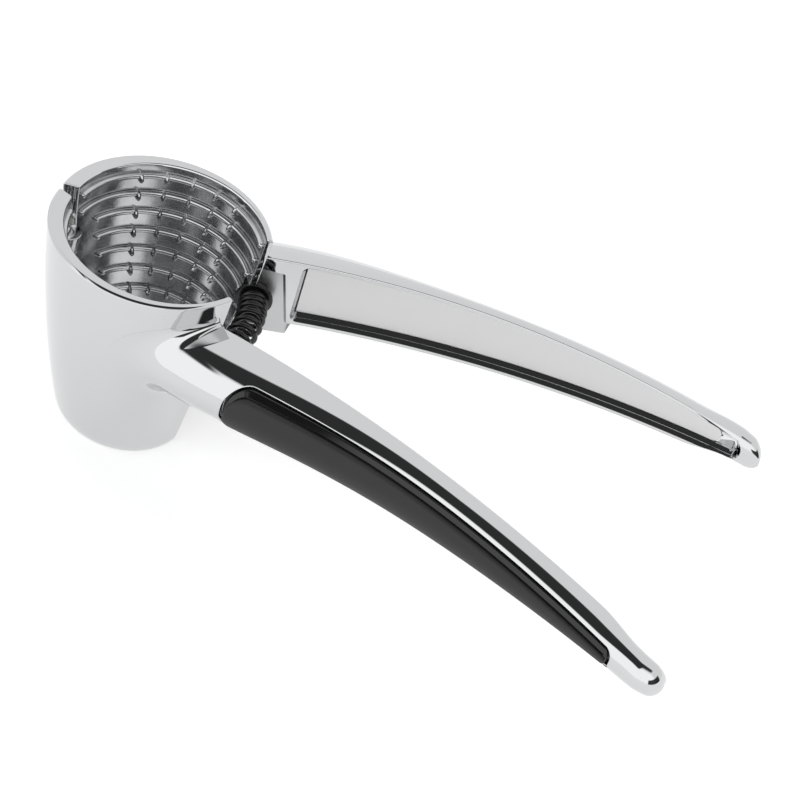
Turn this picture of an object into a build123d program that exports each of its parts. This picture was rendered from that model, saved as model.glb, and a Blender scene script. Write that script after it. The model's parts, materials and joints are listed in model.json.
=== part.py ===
"""Sprung cup nutcracker: two half-cup jaws on an upright hinge pin, with long handles opposite the hinge.

X runs from the hinge end to the handle tips, Z is up, and the two arms mirror each other across Y = 0.
The origin is at the bottom centre of the bounding box, with the handles as far open as the spring holds them.
"""

import os
from math import atan2, cos, exp, hypot, pi, radians, sin, tan

from build123d import *

# Whole tool
overall_length = 187.0
open_angle = 15.2  # turn of each arm between meeting jaws and rest
running_clearance = 0.05
seat_clearance = 0.1

# Half cup: radius, distance from the hinge end and sideways offset of each round section
cup_depth = 55.0
rim_radius = 28.0
rim_offset = 1.4
belly_height = 28.0
belly_radius = 25.45
belly_inset = 2.3
belly_offset = 2.5
base_radius = 20.6
base_inset = 9.8
base_offset = 3.7
base_rounding = 4.0
rim_rounding = 0.8

# Funnel inside the cup: wall at the hinge end and wall at the sides of each section
rim_wall_hinge = 4.3
rim_wall_side = 2.9
belly_wall_hinge = 6.2
belly_wall_side = 4.2
base_wall_hinge = 7.0
base_wall_side = 5.8

# Hinge
pin_radius = 1.5
pin_from_end = 4.5
pin_recess = 0.4
pin_chamfer = 0.3
knuckle_radius = 3.6
knuckle_count = 3
knuckle_gap = 0.2
knuckle_relief = 0.4
hinge_top_drop = 12.5
hinge_length = 16.2
slit_half_width = 2.15

# Cracking ribs and their teeth inside each jaw
rib_count = 8
rib_pitch = 6.0
rib_first_drop = 4.5
rib_height = 1.1
rib_width = 1.8
rib_crest = 0.8
rib_embed = 1.0
tooth_columns = 6
tooth_first_angle = 40.0
tooth_step_angle = 21.0
tooth_width = 1.2
tooth_length = 2.2
tooth_height = 1.7

# Handle edges at its root, its middle and near its tip, seen from the side and from above
handle_root = 50.0
handle_middle = 112.0
end_from_tip = 7.0
root_top = 47.2
middle_top = 48.2
end_top = 33.1
root_bottom = 26.3
middle_bottom = 30.2
end_bottom = 23.9
root_inner = 14.9
middle_inner = 29.8
end_inner = 42.8
root_thickness = 16.0
end_thickness = 8.2
tip_thickness = 6.0
swell_length = 41.0  # the root's extra thickness fades over about this length
handle_sections = 7
tip_rounding = 3.8
tip_margin = 0.2  # the rounded outline stands this far outside the handle's edges

# Spring, its washer and the seats on the handle roots
seat_depth = 3.0
seat_edge = 59.9
seat_lean = 12.7
web_low = 20.4
web_high = 22.5
web_thickness = 2.5
spring_from_end = 51.6
spring_height = 34.5
spring_outer_radius = 4.0
wire_radius = 0.5
spring_turns = 12
points_per_turn = 10
washer_radius = 4.9
washer_thickness = 1.2
peg_radius = 2.2
peg_length = 4.0
pocket_clearance = 0.4

# Recess and inlay plate on the inner face of each handle
recess_start = 61.5
recess_from_tip = 11.5
recess_flange = 1.5
recess_depth = 2.8
recess_end_rounding = 3.0
recess_corner = 0.6
plate_thickness = 1.5
plate_trough = 1.0

# Grip inlay on the outer face of each handle
grip_start = 62.0
grip_from_tip = 14.5
grip_start_rounding = 6.5
grip_end_rounding = 2.4
grip_top_edge = 2.2
grip_bottom_edge = 1.6
grip_pocket_depth = 2.6
carrier_thickness = 1.4
pad_top_step = 2.2
pad_side_step = 0.6
pad_proud = 0.7

# Places that follow from the sizes above
hinge_end_x = -overall_length / 2
tip_x = overall_length / 2
handle_end = overall_length - end_from_tip
recess_end = overall_length - recess_from_tip
grip_end = overall_length - grip_from_tip
pin_x = hinge_end_x + pin_from_end
hinge_top = cup_depth - hinge_top_drop
hinge_bottom = hinge_top - hinge_length
knuckle_pitch = hinge_length / knuckle_count
reach = 2 * overall_length  # longer than the tool, for cutting shapes


def from_end(distance):
    """X of a place measured from the hinge end."""
    return hinge_end_x + distance


def arc_centre(points):
    """Centre of the circle through three (x, height) points."""
    (x1, h1), (x2, h2), (x3, h3) = points
    a2, b2, c2 = x2 - x1, h2 - h1, (x2**2 - x1**2 + h2**2 - h1**2) / 2
    a3, b3, c3 = x3 - x1, h3 - h1, (x3**2 - x1**2 + h3**2 - h1**2) / 2
    cross = a2 * b3 - a3 * b2
    return (c2 * b3 - c3 * b2) / cross, (a2 * c3 - a3 * c2) / cross


def arc_height(points, x):
    """Height at x of the circle through three (x, height) points."""
    centre_x, centre_h = arc_centre(points)
    middle_x, middle_h = points[1]
    radius = hypot(middle_x - centre_x, middle_h - centre_h)
    side = 1 if middle_h > centre_h else -1
    return centre_h + side * (radius**2 - (x - centre_x) ** 2) ** 0.5


def arc_slope(points, x):
    """Slope at x of the circle through three (x, height) points."""
    centre_x, centre_h = arc_centre(points)
    return (centre_x - x) / (arc_height(points, x) - centre_h)


stations = [from_end(d) for d in (handle_root, handle_middle, handle_end)]
top_points = list(zip(stations, (root_top, middle_top, end_top)))
bottom_points = list(zip(stations, (root_bottom, middle_bottom, end_bottom)))
inner_points = list(zip(stations, (root_inner, middle_inner, end_inner)))


def inner_y(x):
    """Y of the inner face of the rear handle at x."""
    return arc_height(inner_points, x)


def side_face(start, end, top_inset, bottom_inset, start_rounding, end_rounding):
    """Side view of the handle between two places, drawn in from its edges and rounded at its ends."""
    top = [(x, h - top_inset) for x, h in top_points]
    bottom = [(x, h + bottom_inset) for x, h in bottom_points]
    low_start = (start, arc_height(bottom, start))
    high_start = (start, arc_height(top, start))
    high_end = (end, arc_height(top, end))
    low_end = (end, arc_height(bottom, end))
    middle = (start + end) / 2
    with BuildSketch(Plane.XZ) as face:
        with BuildLine():
            Line(low_start, high_start)
            ThreePointArc(high_start, (middle, arc_height(top, middle)), high_end)
            Line(high_end, low_end)
            ThreePointArc(low_end, (middle, arc_height(bottom, middle)), low_start)
        make_face()
        fillet(face.vertices().sort_by(Axis.X)[:2], start_rounding)
        fillet(face.vertices().sort_by(Axis.X)[-2:], end_rounding)
    return face.sketch


def handle_thickness(x):
    """Distance from the inner face to the outermost line of the handle at x."""
    from_root = (x - from_end(handle_root)) / swell_length
    return end_thickness + (root_thickness - end_thickness) * exp(-(from_root**2))


def handle_form(depth):
    """Rear handle as a loft of ellipses round its inner line, thinner by depth at its outer face."""
    start, end = from_end(rim_radius), from_end(handle_end)
    xs = [start + (end - start) * index / (handle_sections - 1) for index in range(handle_sections)]
    thicknesses = [(x, handle_thickness(x)) for x in xs] + [(tip_x, tip_thickness)]
    with BuildPart() as form:
        for x, thickness in thicknesses:
            top = arc_height(top_points, x)
            bottom = arc_height(bottom_points, x)
            with BuildSketch(Plane.YZ.offset(x)):
                with Locations((inner_y(x), (top + bottom) / 2)):
                    Ellipse(thickness - depth, (top - bottom) / 2, rotation=180)
        loft()
    return form.part


def inner_strip(near_shift, far_shift):
    """Plan view of a strip beside the inner face of the rear handle, between two distances from it."""
    xs = [from_end(rim_radius), from_end(handle_middle), tip_x]
    with BuildSketch(Plane.XY) as strip:
        with BuildLine():
            near = ThreePointArc(*[(x, inner_y(x) + near_shift) for x in xs])
            far = ThreePointArc(*[(x, inner_y(x) + far_shift) for x in xs])
            Line(near @ 0, far @ 0)
            Line(near @ 1, far @ 1)
        make_face()
    return strip.sketch


def outline_prism(side):
    """Side view carried across the whole width of the tool."""
    with BuildPart() as prism:
        with BuildSketch(Plane.XZ):
            add(side)
        extrude(amount=reach, both=True)
    return prism.part


def strip_block(side, near_shift, far_shift):
    """Solid beside the inner face of the rear handle with a given outline from the side."""
    with BuildPart() as block:
        with BuildSketch(Plane.XY):
            add(inner_strip(near_shift, far_shift))
        extrude(amount=cup_depth)
        add(outline_prism(side), mode=Mode.INTERSECT)
    return block.part


def outer_sections():
    """Sections of the outside of the rear half cup: height, radius, X and Y of the centre."""
    return [
        (0, base_radius, from_end(base_inset + base_radius), base_offset),
        (belly_height, belly_radius, from_end(belly_inset + belly_radius), belly_offset),
        (cup_depth, rim_radius, from_end(rim_radius), rim_offset),
    ]


def funnel_sections():
    """Sections of the funnel, set toward the opening, so that the hinge wall is the thickest."""
    walls = [
        (base_wall_hinge, base_wall_side),
        (belly_wall_hinge, belly_wall_side),
        (rim_wall_hinge, rim_wall_side),
    ]
    sections = []
    for (height, radius, centre_x, centre_y), (hinge_wall, side_wall) in zip(outer_sections(), walls):
        sections.append((height, radius - side_wall, centre_x + hinge_wall - side_wall, centre_y))
    return sections


def funnel_at(height):
    """Radius, X and Y of the centre of the funnel at a height, on the parabola through its sections."""
    (h1, *base), (h2, *belly), (h3, *rim) = funnel_sections()
    base_share = (height - h2) * (height - h3) / ((h1 - h2) * (h1 - h3))
    belly_share = (height - h1) * (height - h3) / ((h2 - h1) * (h2 - h3))
    rim_share = (height - h1) * (height - h2) / ((h3 - h1) * (h3 - h2))
    return [base_share * a + belly_share * b + rim_share * c for a, b, c in zip(base, belly, rim)]


def round_solid(sections):
    """Solid lofted through round sections."""
    with BuildPart() as solid:
        for height, radius, centre_x, centre_y in sections:
            with BuildSketch(Plane.XY.offset(height)):
                with Locations((centre_x, centre_y)):
                    Circle(radius)
        loft()
    return solid.part


def cup_form():
    """Outside of the rear half cup as a whole round solid, with its edges rounded."""
    with BuildPart() as cup:
        add(round_solid(outer_sections()))
        fillet(cup.edges().sort_by(Axis.Z)[0], base_rounding)
        fillet(cup.edges().sort_by(Axis.Z)[-1], rim_rounding)
    return cup.part


def rib_heights():
    """Heights of the ribs, from the rim down."""
    return [cup_depth - rib_first_drop - rib_pitch * index for index in range(rib_count)]


def rib_rings():
    """Ring of tapered section round the funnel at each rib height."""
    with BuildPart() as rings:
        for height in rib_heights():
            radius, centre_x, centre_y = funnel_at(height)
            middle = Plane(origin=(centre_x, centre_y, height), x_dir=(1, 0, 0), z_dir=(0, -1, 0))
            with BuildSketch(middle):
                with BuildLine():
                    Polyline(
                        (radius + rib_embed, rib_width / 2),
                        (radius - rib_height, rib_crest / 2),
                        (radius - rib_height, -rib_crest / 2),
                        (radius + rib_embed, -rib_width / 2),
                        close=True,
                    )
                make_face()
            revolve(axis=Axis((centre_x, centre_y, height), (0, 0, 1)))
    return rings.part


def rib_teeth():
    """Teeth that hang from the ribs of the rear jaw, in columns that line up from rib to rib."""
    with BuildPart() as teeth:
        for height in rib_heights():
            radius, centre_x, centre_y = funnel_at(height)
            for column in range(tooth_columns):
                angle = radians(180 - tooth_first_angle - tooth_step_angle * column)
                root = (centre_x + radius * cos(angle), centre_y + radius * sin(angle), height)
                inward = (-cos(angle), -sin(angle), 0)
                across = (sin(angle), -cos(angle), 0)
                with BuildSketch(Plane(origin=root, x_dir=inward, z_dir=across)):
                    with BuildLine():
                        Polyline(
                            (-rib_embed, rib_crest / 2),
                            (tooth_height, rib_crest / 2),
                            (tooth_height, -tooth_length / 2),
                            (rib_height / 2, -tooth_length),
                            (-rib_embed, -tooth_length),
                            close=True,
                        )
                    make_face()
        extrude(amount=tooth_width / 2, both=True)
    return teeth.part


def parting_cut():
    """Everything on the far side of the rear jaw's parting faces, at rest.

    With the jaws closed the faces at the opening meet on the middle plane, and the hinge slit stays open.
    """
    turn = radians(open_angle)
    closed_frame = Plane(origin=(pin_x, 0, 0), x_dir=(cos(turn), sin(turn), 0), z_dir=(0, 0, 1))
    cup_end = 2 * rim_radius
    with BuildPart() as cut:
        with BuildSketch(closed_frame):
            with BuildLine():
                Polyline(
                    (-cup_end, slit_half_width),
                    (rim_radius, slit_half_width),
                    (rim_radius, 0),
                    (cup_end, 0),
                    (cup_end, -cup_end),
                    (-cup_end, -cup_end),
                    close=True,
                )
            make_face()
        extrude(amount=cup_depth)
    return cut.part


def spring_seat_plane():
    """Plane of the rear spring seat: its origin is where the spring bears, and Z points along the spring."""
    x = from_end(spring_from_end)
    slope = arc_slope(inner_points, x)
    length = hypot(1, slope)
    return Plane(
        origin=(x, inner_y(x) + seat_depth, spring_height),
        x_dir=(0, 0, 1),
        z_dir=(slope / length, -1 / length, 0),
    )


def seat_cut():
    """Flat set back into the handle root, with its leaning step, and the round pocket of the spring."""
    lean = tan(radians(seat_lean))
    step_low = (from_end(seat_edge) + spring_height * lean, 0)
    step_high = (from_end(seat_edge) - (cup_depth - spring_height) * lean, cup_depth)
    with BuildPart() as cut:
        with BuildSketch(Plane.XZ):
            with BuildLine():
                Polyline(
                    step_low,
                    step_high,
                    (step_high[0] - rim_radius, cup_depth),
                    (step_high[0] - rim_radius, 0),
                    close=True,
                )
            make_face()
        extrude(amount=reach, both=True)
        with BuildSketch(Plane.XY):
            add(inner_strip(-seat_depth, seat_depth))
        extrude(amount=cup_depth, mode=Mode.INTERSECT)
    return cut.part


def seat_web():
    """Web that carries the seat face below the handle root, from the cup wall to the foot of the step."""
    start, end = from_end(rim_radius), from_end(seat_edge)
    with BuildSketch(Plane.XZ) as side:
        with BuildLine():
            Polyline((start, web_low), (end, web_high), (end, spring_height), (start, spring_height), close=True)
        make_face()
    return strip_block(side.sketch, seat_depth, seat_depth + web_thickness)


def spring_pocket():
    """Round pocket that the washer and the spring drop into, open toward the other arm."""
    with BuildPart() as pocket:
        with BuildSketch(spring_seat_plane()):
            Circle(washer_radius + pocket_clearance)
        extrude(amount=rim_radius)
    return pocket.part


def spring_peg():
    """Peg of the seat that stands inside the end of the spring."""
    with BuildPart() as peg:
        with BuildSketch(spring_seat_plane()):
            Circle(peg_radius)
        extrude(amount=-seat_depth)
        with BuildSketch(spring_seat_plane()):
            Circle(peg_radius)
        extrude(amount=peg_length)
    return peg.part


def knuckle_bottom(index):
    """Height of the lower end of a knuckle, counted from the bottom of the hinge."""
    return hinge_bottom + knuckle_pitch * index


def knuckle(index, radius, length_over):
    """Cylinder round the pin over one knuckle, longer at both ends by half of length_over."""
    low = knuckle_bottom(index) + knuckle_gap / 2 - length_over / 2
    with BuildPart() as cylinder:
        with BuildSketch(Plane.XY.offset(low)):
            with Locations((pin_x, 0)):
                Circle(radius)
        extrude(amount=knuckle_pitch - knuckle_gap + length_over)
    return cylinder.part


def pin_bore():
    """Bore of the hinge pin through every knuckle."""
    with BuildPart() as bore:
        with BuildSketch(Plane.XY.offset(hinge_bottom)):
            with Locations((pin_x, 0)):
                Circle(pin_radius + running_clearance)
        extrude(amount=hinge_length)
    return bore.part


def recess_outline(top_inset, bottom_inset, rounding_inset):
    """Outline of the recess of the inner face, or of its plate where it is drawn in."""
    return side_face(
        from_end(recess_start) + rounding_inset,
        from_end(recess_end) - rounding_inset,
        recess_flange + top_inset,
        recess_flange + bottom_inset,
        recess_corner,
        recess_end_rounding - rounding_inset,
    )


def grip_outline(top_inset, side_inset):
    """Outline of the grip pocket of the outer face, or of a grip piece where it is drawn in."""
    return side_face(
        from_end(grip_start) + side_inset,
        from_end(grip_end) - side_inset,
        grip_top_edge + top_inset,
        grip_bottom_edge + side_inset,
        grip_start_rounding - side_inset,
        grip_end_rounding - side_inset,
    )


def nose_outline():
    """Side view that rounds the tip of the handle and stands just clear of its other edges."""
    start = from_end(rim_radius) - tip_rounding
    return side_face(start, tip_x, -tip_margin, -tip_margin, tip_margin, tip_rounding)


def grip_layer(outline, outer_depth, inner_depth):
    """Curved layer under the outer face of the rear handle, between two depths, cut to an outline."""
    with BuildPart() as layer:
        add(strip_block(outline, 0, rim_radius))
        add(handle_form(outer_depth), mode=Mode.INTERSECT)
        add(handle_form(inner_depth), mode=Mode.SUBTRACT)
    return layer.part


def arm_casting():
    """Rear arm as one casting, jaw and handle, before its knuckles."""
    with BuildPart() as casting:
        add(strip_block(nose_outline(), 0, rim_radius))
        add(handle_form(0), mode=Mode.INTERSECT)
        add(seat_cut(), mode=Mode.SUBTRACT)
        add(seat_web())
        add(cup_form())
        add(round_solid(funnel_sections()), mode=Mode.SUBTRACT)
        add([rib_rings(), rib_teeth()])
        add(parting_cut(), mode=Mode.SUBTRACT)
        add(spring_pocket(), mode=Mode.SUBTRACT)
        add(spring_peg())
        add(strip_block(recess_outline(0, 0, 0), -seat_depth, recess_depth), mode=Mode.SUBTRACT)
        add(grip_layer(grip_outline(0, 0), -pad_proud, grip_pocket_depth), mode=Mode.SUBTRACT)
    return casting.part


def knuckles(indices, radius, length_over):
    """Knuckle cylinders at some of the places along the pin."""
    return [knuckle(index, radius, length_over) for index in indices]


def grip_carrier():
    """Gloss tray of the rear grip, on the floor of the pocket."""
    outline = grip_outline(seat_clearance, seat_clearance)
    return grip_layer(outline, grip_pocket_depth - carrier_thickness, grip_pocket_depth - seat_clearance)


def grip_pad():
    """Soft pad of the rear grip, which stands on the carrier and proud of the handle."""
    outline = grip_outline(pad_top_step, pad_side_step)
    return grip_layer(outline, -pad_proud, grip_pocket_depth - carrier_thickness - seat_clearance)


def inner_plate():
    """Satin plate of the rear handle, on the floor of the recess, with a trough below it."""
    return strip_block(
        recess_outline(seat_clearance, plate_trough, seat_clearance),
        recess_depth - plate_thickness,
        recess_depth - seat_clearance,
    )


def spring_washer():
    """Washer on the rear seat, round the peg."""
    seat = spring_seat_plane()
    with BuildPart() as washer:
        with BuildSketch(seat.offset(seat_clearance)):
            Circle(washer_radius)
            Circle(peg_radius + running_clearance, mode=Mode.SUBTRACT)
        extrude(amount=washer_thickness)
    return washer.part


def spring_line_point(share, coil_angle):
    """Point of the spring wire at a share of the arc between the washers, which leaves each seat squarely."""
    seat = spring_seat_plane()
    face = seat.offset(seat_clearance + washer_thickness + seat_clearance + wire_radius).origin
    slope = -seat.z_dir.X / seat.z_dir.Y
    centre_x = face.X - face.Y / slope
    arc_radius = hypot(face.X - centre_x, face.Y)
    angle = atan2(face.Y, face.X - centre_x) * (1 - 2 * share)
    distance = arc_radius + (spring_outer_radius - wire_radius) * cos(coil_angle)
    height = spring_height + (spring_outer_radius - wire_radius) * sin(coil_angle)
    return (centre_x + distance * cos(angle), distance * sin(angle), height)


# The two arms. The rear one holds the end knuckles, and the front one the knuckle between them.
blank_arm = arm_casting()
rear_knuckles = range(0, knuckle_count, 2)
front_knuckles = range(1, knuckle_count, 2)
relief_radius = knuckle_radius + knuckle_relief

with BuildPart() as rear_jaw_arm:
    add(blank_arm)
    add(knuckles(rear_knuckles, knuckle_radius, 0))
    add(knuckles(front_knuckles, relief_radius, 2 * knuckle_gap), mode=Mode.SUBTRACT)
    add(pin_bore(), mode=Mode.SUBTRACT)

with BuildPart() as front_jaw_arm:
    mirror(blank_arm, about=Plane.XZ)
    add(knuckles(front_knuckles, knuckle_radius, 0))
    add(knuckles(rear_knuckles, relief_radius, 2 * knuckle_gap), mode=Mode.SUBTRACT)
    add(pin_bore(), mode=Mode.SUBTRACT)

# Hinge pin, sunk a little below the top knuckle
with BuildPart() as hinge_pin:
    with BuildSketch(Plane.XY.offset(hinge_bottom)):
        with Locations((pin_x, 0)):
            Circle(pin_radius)
    extrude(amount=hinge_length - pin_recess)
    chamfer(hinge_pin.edges().filter_by(GeomType.CIRCLE), pin_chamfer)

# Compression spring, bent to stand square on both seats
with BuildPart() as return_spring:
    coil_steps = spring_turns * points_per_turn
    with BuildLine() as wire_line:
        steps = range(coil_steps + 1)
        Spline([spring_line_point(step / coil_steps, 2 * pi * step / points_per_turn) for step in steps])
    with BuildSketch(Plane(origin=wire_line.line @ 0, z_dir=wire_line.line % 0)):
        Circle(wire_radius)
    sweep(path=wire_line.line, is_frenet=True)

with BuildPart() as rear_spring_washer:
    add(spring_washer())

with BuildPart() as front_spring_washer:
    mirror(rear_spring_washer.part, about=Plane.XZ)

# Grip inlay of each handle
with BuildPart() as rear_grip_carrier:
    add(grip_carrier())

with BuildPart() as front_grip_carrier:
    mirror(rear_grip_carrier.part, about=Plane.XZ)

with BuildPart() as rear_grip_pad:
    add(grip_pad())

with BuildPart() as front_grip_pad:
    mirror(rear_grip_pad.part, about=Plane.XZ)

# Plate in the recess of each inner face
with BuildPart() as rear_inner_plate:
    add(inner_plate())

with BuildPart() as front_inner_plate:
    mirror(rear_inner_plate.part, about=Plane.XZ)

pieces = {
    "rear_jaw_arm": rear_jaw_arm,
    "front_jaw_arm": front_jaw_arm,
    "hinge_pin": hinge_pin,
    "return_spring": return_spring,
    "rear_spring_washer": rear_spring_washer,
    "front_spring_washer": front_spring_washer,
    "rear_grip_carrier": rear_grip_carrier,
    "front_grip_carrier": front_grip_carrier,
    "rear_grip_pad": rear_grip_pad,
    "front_grip_pad": front_grip_pad,
    "rear_inner_plate": rear_inner_plate,
    "front_inner_plate": front_inner_plate,
}

os.makedirs("parts", exist_ok=True)
for piece_name, piece in pieces.items():
    piece.part.label = piece_name
    export_step(piece.part, f"parts/{piece_name}.step")
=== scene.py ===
"""Looks of a sprung cup nutcracker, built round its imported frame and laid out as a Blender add-on.

Lengths are metres. X runs from the hinge end to the handle tips and Z is up. Each new piece is worked out
for the rear arm, on the +Y side, as a surface of two parameters, and mirrored in Y for the front arm.
"""

import json

import bmesh
import bpy
import numpy as np
from mathutils import Matrix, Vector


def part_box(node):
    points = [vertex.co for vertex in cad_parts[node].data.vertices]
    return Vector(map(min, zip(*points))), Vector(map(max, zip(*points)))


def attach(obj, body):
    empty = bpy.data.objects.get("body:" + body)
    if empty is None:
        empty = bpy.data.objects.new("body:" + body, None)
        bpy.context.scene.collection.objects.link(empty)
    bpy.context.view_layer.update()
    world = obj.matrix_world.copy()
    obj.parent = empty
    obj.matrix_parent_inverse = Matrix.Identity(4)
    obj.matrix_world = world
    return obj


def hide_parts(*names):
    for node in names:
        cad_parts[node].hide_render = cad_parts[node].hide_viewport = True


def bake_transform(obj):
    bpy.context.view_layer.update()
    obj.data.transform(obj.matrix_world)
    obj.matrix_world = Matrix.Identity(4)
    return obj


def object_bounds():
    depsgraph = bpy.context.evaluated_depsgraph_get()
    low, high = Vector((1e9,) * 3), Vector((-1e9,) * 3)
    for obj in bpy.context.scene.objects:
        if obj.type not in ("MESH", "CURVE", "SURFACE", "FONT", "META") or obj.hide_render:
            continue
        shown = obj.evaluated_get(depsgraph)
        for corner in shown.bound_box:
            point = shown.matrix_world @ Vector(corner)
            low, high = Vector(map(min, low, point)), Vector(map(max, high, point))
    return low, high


bl_info = {
    "name": "Cup Nutcracker",
    "version": (1, 0, 0),
    "blender": (4, 5, 0),
    "location": "View3D > Sidebar > Nutcracker",
    "description": "Builds a sprung cup nutcracker, piece by piece, round its frame",
    "category": "Add Mesh",
}

MM = 0.001
MERGED = 0.001 * MM  # points this close become one
SLIVER = 0.003 * MM  # the shortest edges that a cut leaves
SUNK = 0.02 * MM  # how deep a surface lies in the one that it touches
NEAR = 0.1 * MM  # how far a face may be from the shape that it belongs to
LEAST_ROUNDING = 0.05 * MM

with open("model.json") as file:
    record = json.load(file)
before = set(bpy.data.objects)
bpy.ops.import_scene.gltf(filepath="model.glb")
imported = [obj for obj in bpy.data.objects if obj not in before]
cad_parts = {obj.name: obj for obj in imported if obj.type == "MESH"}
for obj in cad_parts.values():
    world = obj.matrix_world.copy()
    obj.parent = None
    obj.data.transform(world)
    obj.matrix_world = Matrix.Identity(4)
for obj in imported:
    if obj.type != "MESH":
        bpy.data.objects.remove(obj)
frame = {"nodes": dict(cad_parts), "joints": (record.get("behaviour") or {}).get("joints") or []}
frame_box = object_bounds()
hinge_end = frame_box[0][0]
tip = frame_box[1][0]
joint = frame["joints"][0]
pin_x = joint["pos_m"][0]
pin_low, pin_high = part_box("hinge_pin")
arms = {"rear": "rear_arm", "front": "front_arm"}


# Sizes and colours


def size(name, description, millimetres):
    """Length property with its default given in millimetres."""
    return bpy.props.FloatProperty(
        name=name, description=description, default=millimetres * MM, unit="LENGTH", precision=5
    )


def angle(name, description, degrees):
    """Angle property with its default given in degrees."""
    return bpy.props.FloatProperty(
        name=name, description=description, default=np.radians(degrees), unit="ROTATION"
    )


def number(name, description, default):
    """Plain number property."""
    return bpy.props.FloatProperty(name=name, description=description, default=default)


def count(name, description, default):
    """Whole number property."""
    return bpy.props.IntProperty(name=name, description=description, default=default, min=1)


def colour(name, description, hex_colour):
    """Colour property with its default given as an sRGB hex value."""
    return bpy.props.FloatVectorProperty(
        name=name,
        description=description,
        default=srgb_to_linear(hex_colour),
        subtype="COLOR",
        size=4,
        min=0,
        max=1,
    )


def srgb_to_linear(hex_colour):
    """Linear colour of an sRGB hex value, with full alpha."""
    channels = np.array([int(hex_colour[i : i + 2], 16) for i in (1, 3, 5)]) / 255
    linear = np.where(channels <= 0.04045, channels / 12.92, ((channels + 0.055) / 1.055) ** 2.4)
    return (*linear.tolist(), 1.0)


class CupSizes(bpy.types.PropertyGroup):
    """Half cup: its outside, its funnel, its ribs and its teeth."""

    depth: size("Depth", "Height from the narrow end to the rim", 55.0)
    rim_radius: size("Rim radius", "Outer radius at the rim", 28.0)
    rim_offset: size("Rim offset", "Centre of the rim's arc, sideways from the middle plane", 1.4)
    belly_height: size("Belly height", "Height of the middle section", 28.0)
    belly_radius: size("Belly radius", "Outer radius at the middle section", 23.7)
    belly_inset: size("Belly inset", "Hinge end of the middle section, in from the hinge end of the rim", 5.2)
    belly_offset: size("Belly offset", "Centre of the middle arc, sideways from the middle plane", 4.25)
    base_radius: size("Base radius", "Outer radius at the narrow end", 17.2)
    base_inset: size("Base inset", "Hinge end of the narrow end, in from the hinge end of the rim", 14.0)
    base_offset: size("Base offset", "Centre of the base arc, sideways from the middle plane", 6.9)
    base_rounding: size("Base rounding", "How far in the rounding of the lower outer edge comes", 2.2)
    base_rise: size("Base rise", "How high the rounding of the lower outer edge starts", 4.0)
    rim_bevel: size("Rim bevel", "Width of the bevel on the outer edge of the rim", 0.55)
    bevel_tilt: angle("Bevel tilt", "Turn of the bevel out of the level", 37.0)
    rim_rounding: size("Rim rounding", "Radius of the edges of the bevel", 0.25)
    mouth_rounding: size("Mouth rounding", "Radius of the inner edge of the rim", 0.7)
    edge_break: size("Edge break", "Radius on the edges of the parting faces", 0.3)
    funnel_rim_radius: size("Funnel radius at the rim", "Radius of the funnel at the rim", 25.1)
    funnel_rim_centre: size("Funnel centre at the rim", "Its centre from the hinge end", 29.4)
    funnel_rim_offset: size("Funnel offset at the rim", "Its centre sideways from the middle plane", 1.4)
    funnel_belly_radius: size("Funnel radius at the middle", "Its radius at the middle section", 21.25)
    funnel_belly_centre: size("Funnel centre at the middle", "Its centre from the hinge end", 29.75)
    funnel_belly_offset: size("Funnel offset at the middle", "Its centre sideways from the middle plane", 2.5)
    funnel_base_radius: size("Funnel radius at the base", "Radius of the funnel at the narrow end", 12.6)
    funnel_base_centre: size("Funnel centre at the base", "Its centre from the hinge end", 31.6)
    funnel_base_offset: size("Funnel offset at the base", "Its centre sideways from the middle plane", 3.7)
    open_angle: angle("Open angle", "Turn of each arm between meeting jaws and rest", 15.2)
    slit_half_width: size("Half slit", "Half of the slit beside the hinge when the jaws meet", 2.15)


class RibSizes(bpy.types.PropertyGroup):
    """Cracking ribs of the funnel and the teeth that hang from them."""

    count: count("Ribs", "Ribs in each half cup", 8)
    pitch: size("Pitch", "Height from rib to rib", 5.55)
    first_drop: size("First drop", "Depth of the first rib below the rim", 3.5)
    radius: size("Bar radius", "Radius of the rounded bar", 0.85)
    stand_off: size("Stand-off", "Middle of the bar in front of the funnel wall", 0.45)
    tooth_columns: count("Tooth columns", "Columns of teeth in each half cup", 5)
    first_angle: angle("First column", "Angle of the first column from the hinge", 50.5)
    step_angle: angle("Column step", "Angle from column to column", 16.2)
    tooth_length: size("Tooth length", "Upright length of a tooth across its rib", 3.2)
    tooth_drop: size("Tooth drop", "Middle of a tooth below the middle of its rib", 0.5)
    tooth_radius: size("Tooth radius", "Radius across a tooth", 0.8)
    tooth_height: size("Tooth height", "How far a tooth stands out of the wall", 2.4)
    end_inset: size("End inset", "End of the first rib before the parting face at the opening", 0.9)
    end_step: size("End step", "Added to the end inset for each rib further down", 0.6)
    long_ribs: count("Long ribs", "Upper ribs that run to the hinge slit", 2)
    slit_inset: size("Slit inset", "End of the long ribs before the hinge slit", 0.9)
    lower_slit_inset: size("Lower slit inset", "End of the other ribs before the hinge slit", 6.8)


class HingeSizes(bpy.types.PropertyGroup):
    """Hinge knuckles round the pin."""

    knuckle_radius: size("Knuckle radius", "Outer radius of a knuckle", 3.6)
    bore_radius: size("Bore radius", "Radius of the bore for the pin", 1.55)
    knuckles: count("Knuckles", "Knuckles along the pin, in turn on the rear and the front arm", 3)
    pin_inset: size("Pin inset", "Pin end below the end of the outer knuckle", 0.2)
    knuckle_gap: size("Knuckle gap", "Gap between two knuckles", 0.2)
    relief: size("Relief", "Clearance of the other arm round a knuckle", 0.4)
    rounding: size("Knuckle rounding", "Radius of the edges of a knuckle", 0.3)


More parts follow.
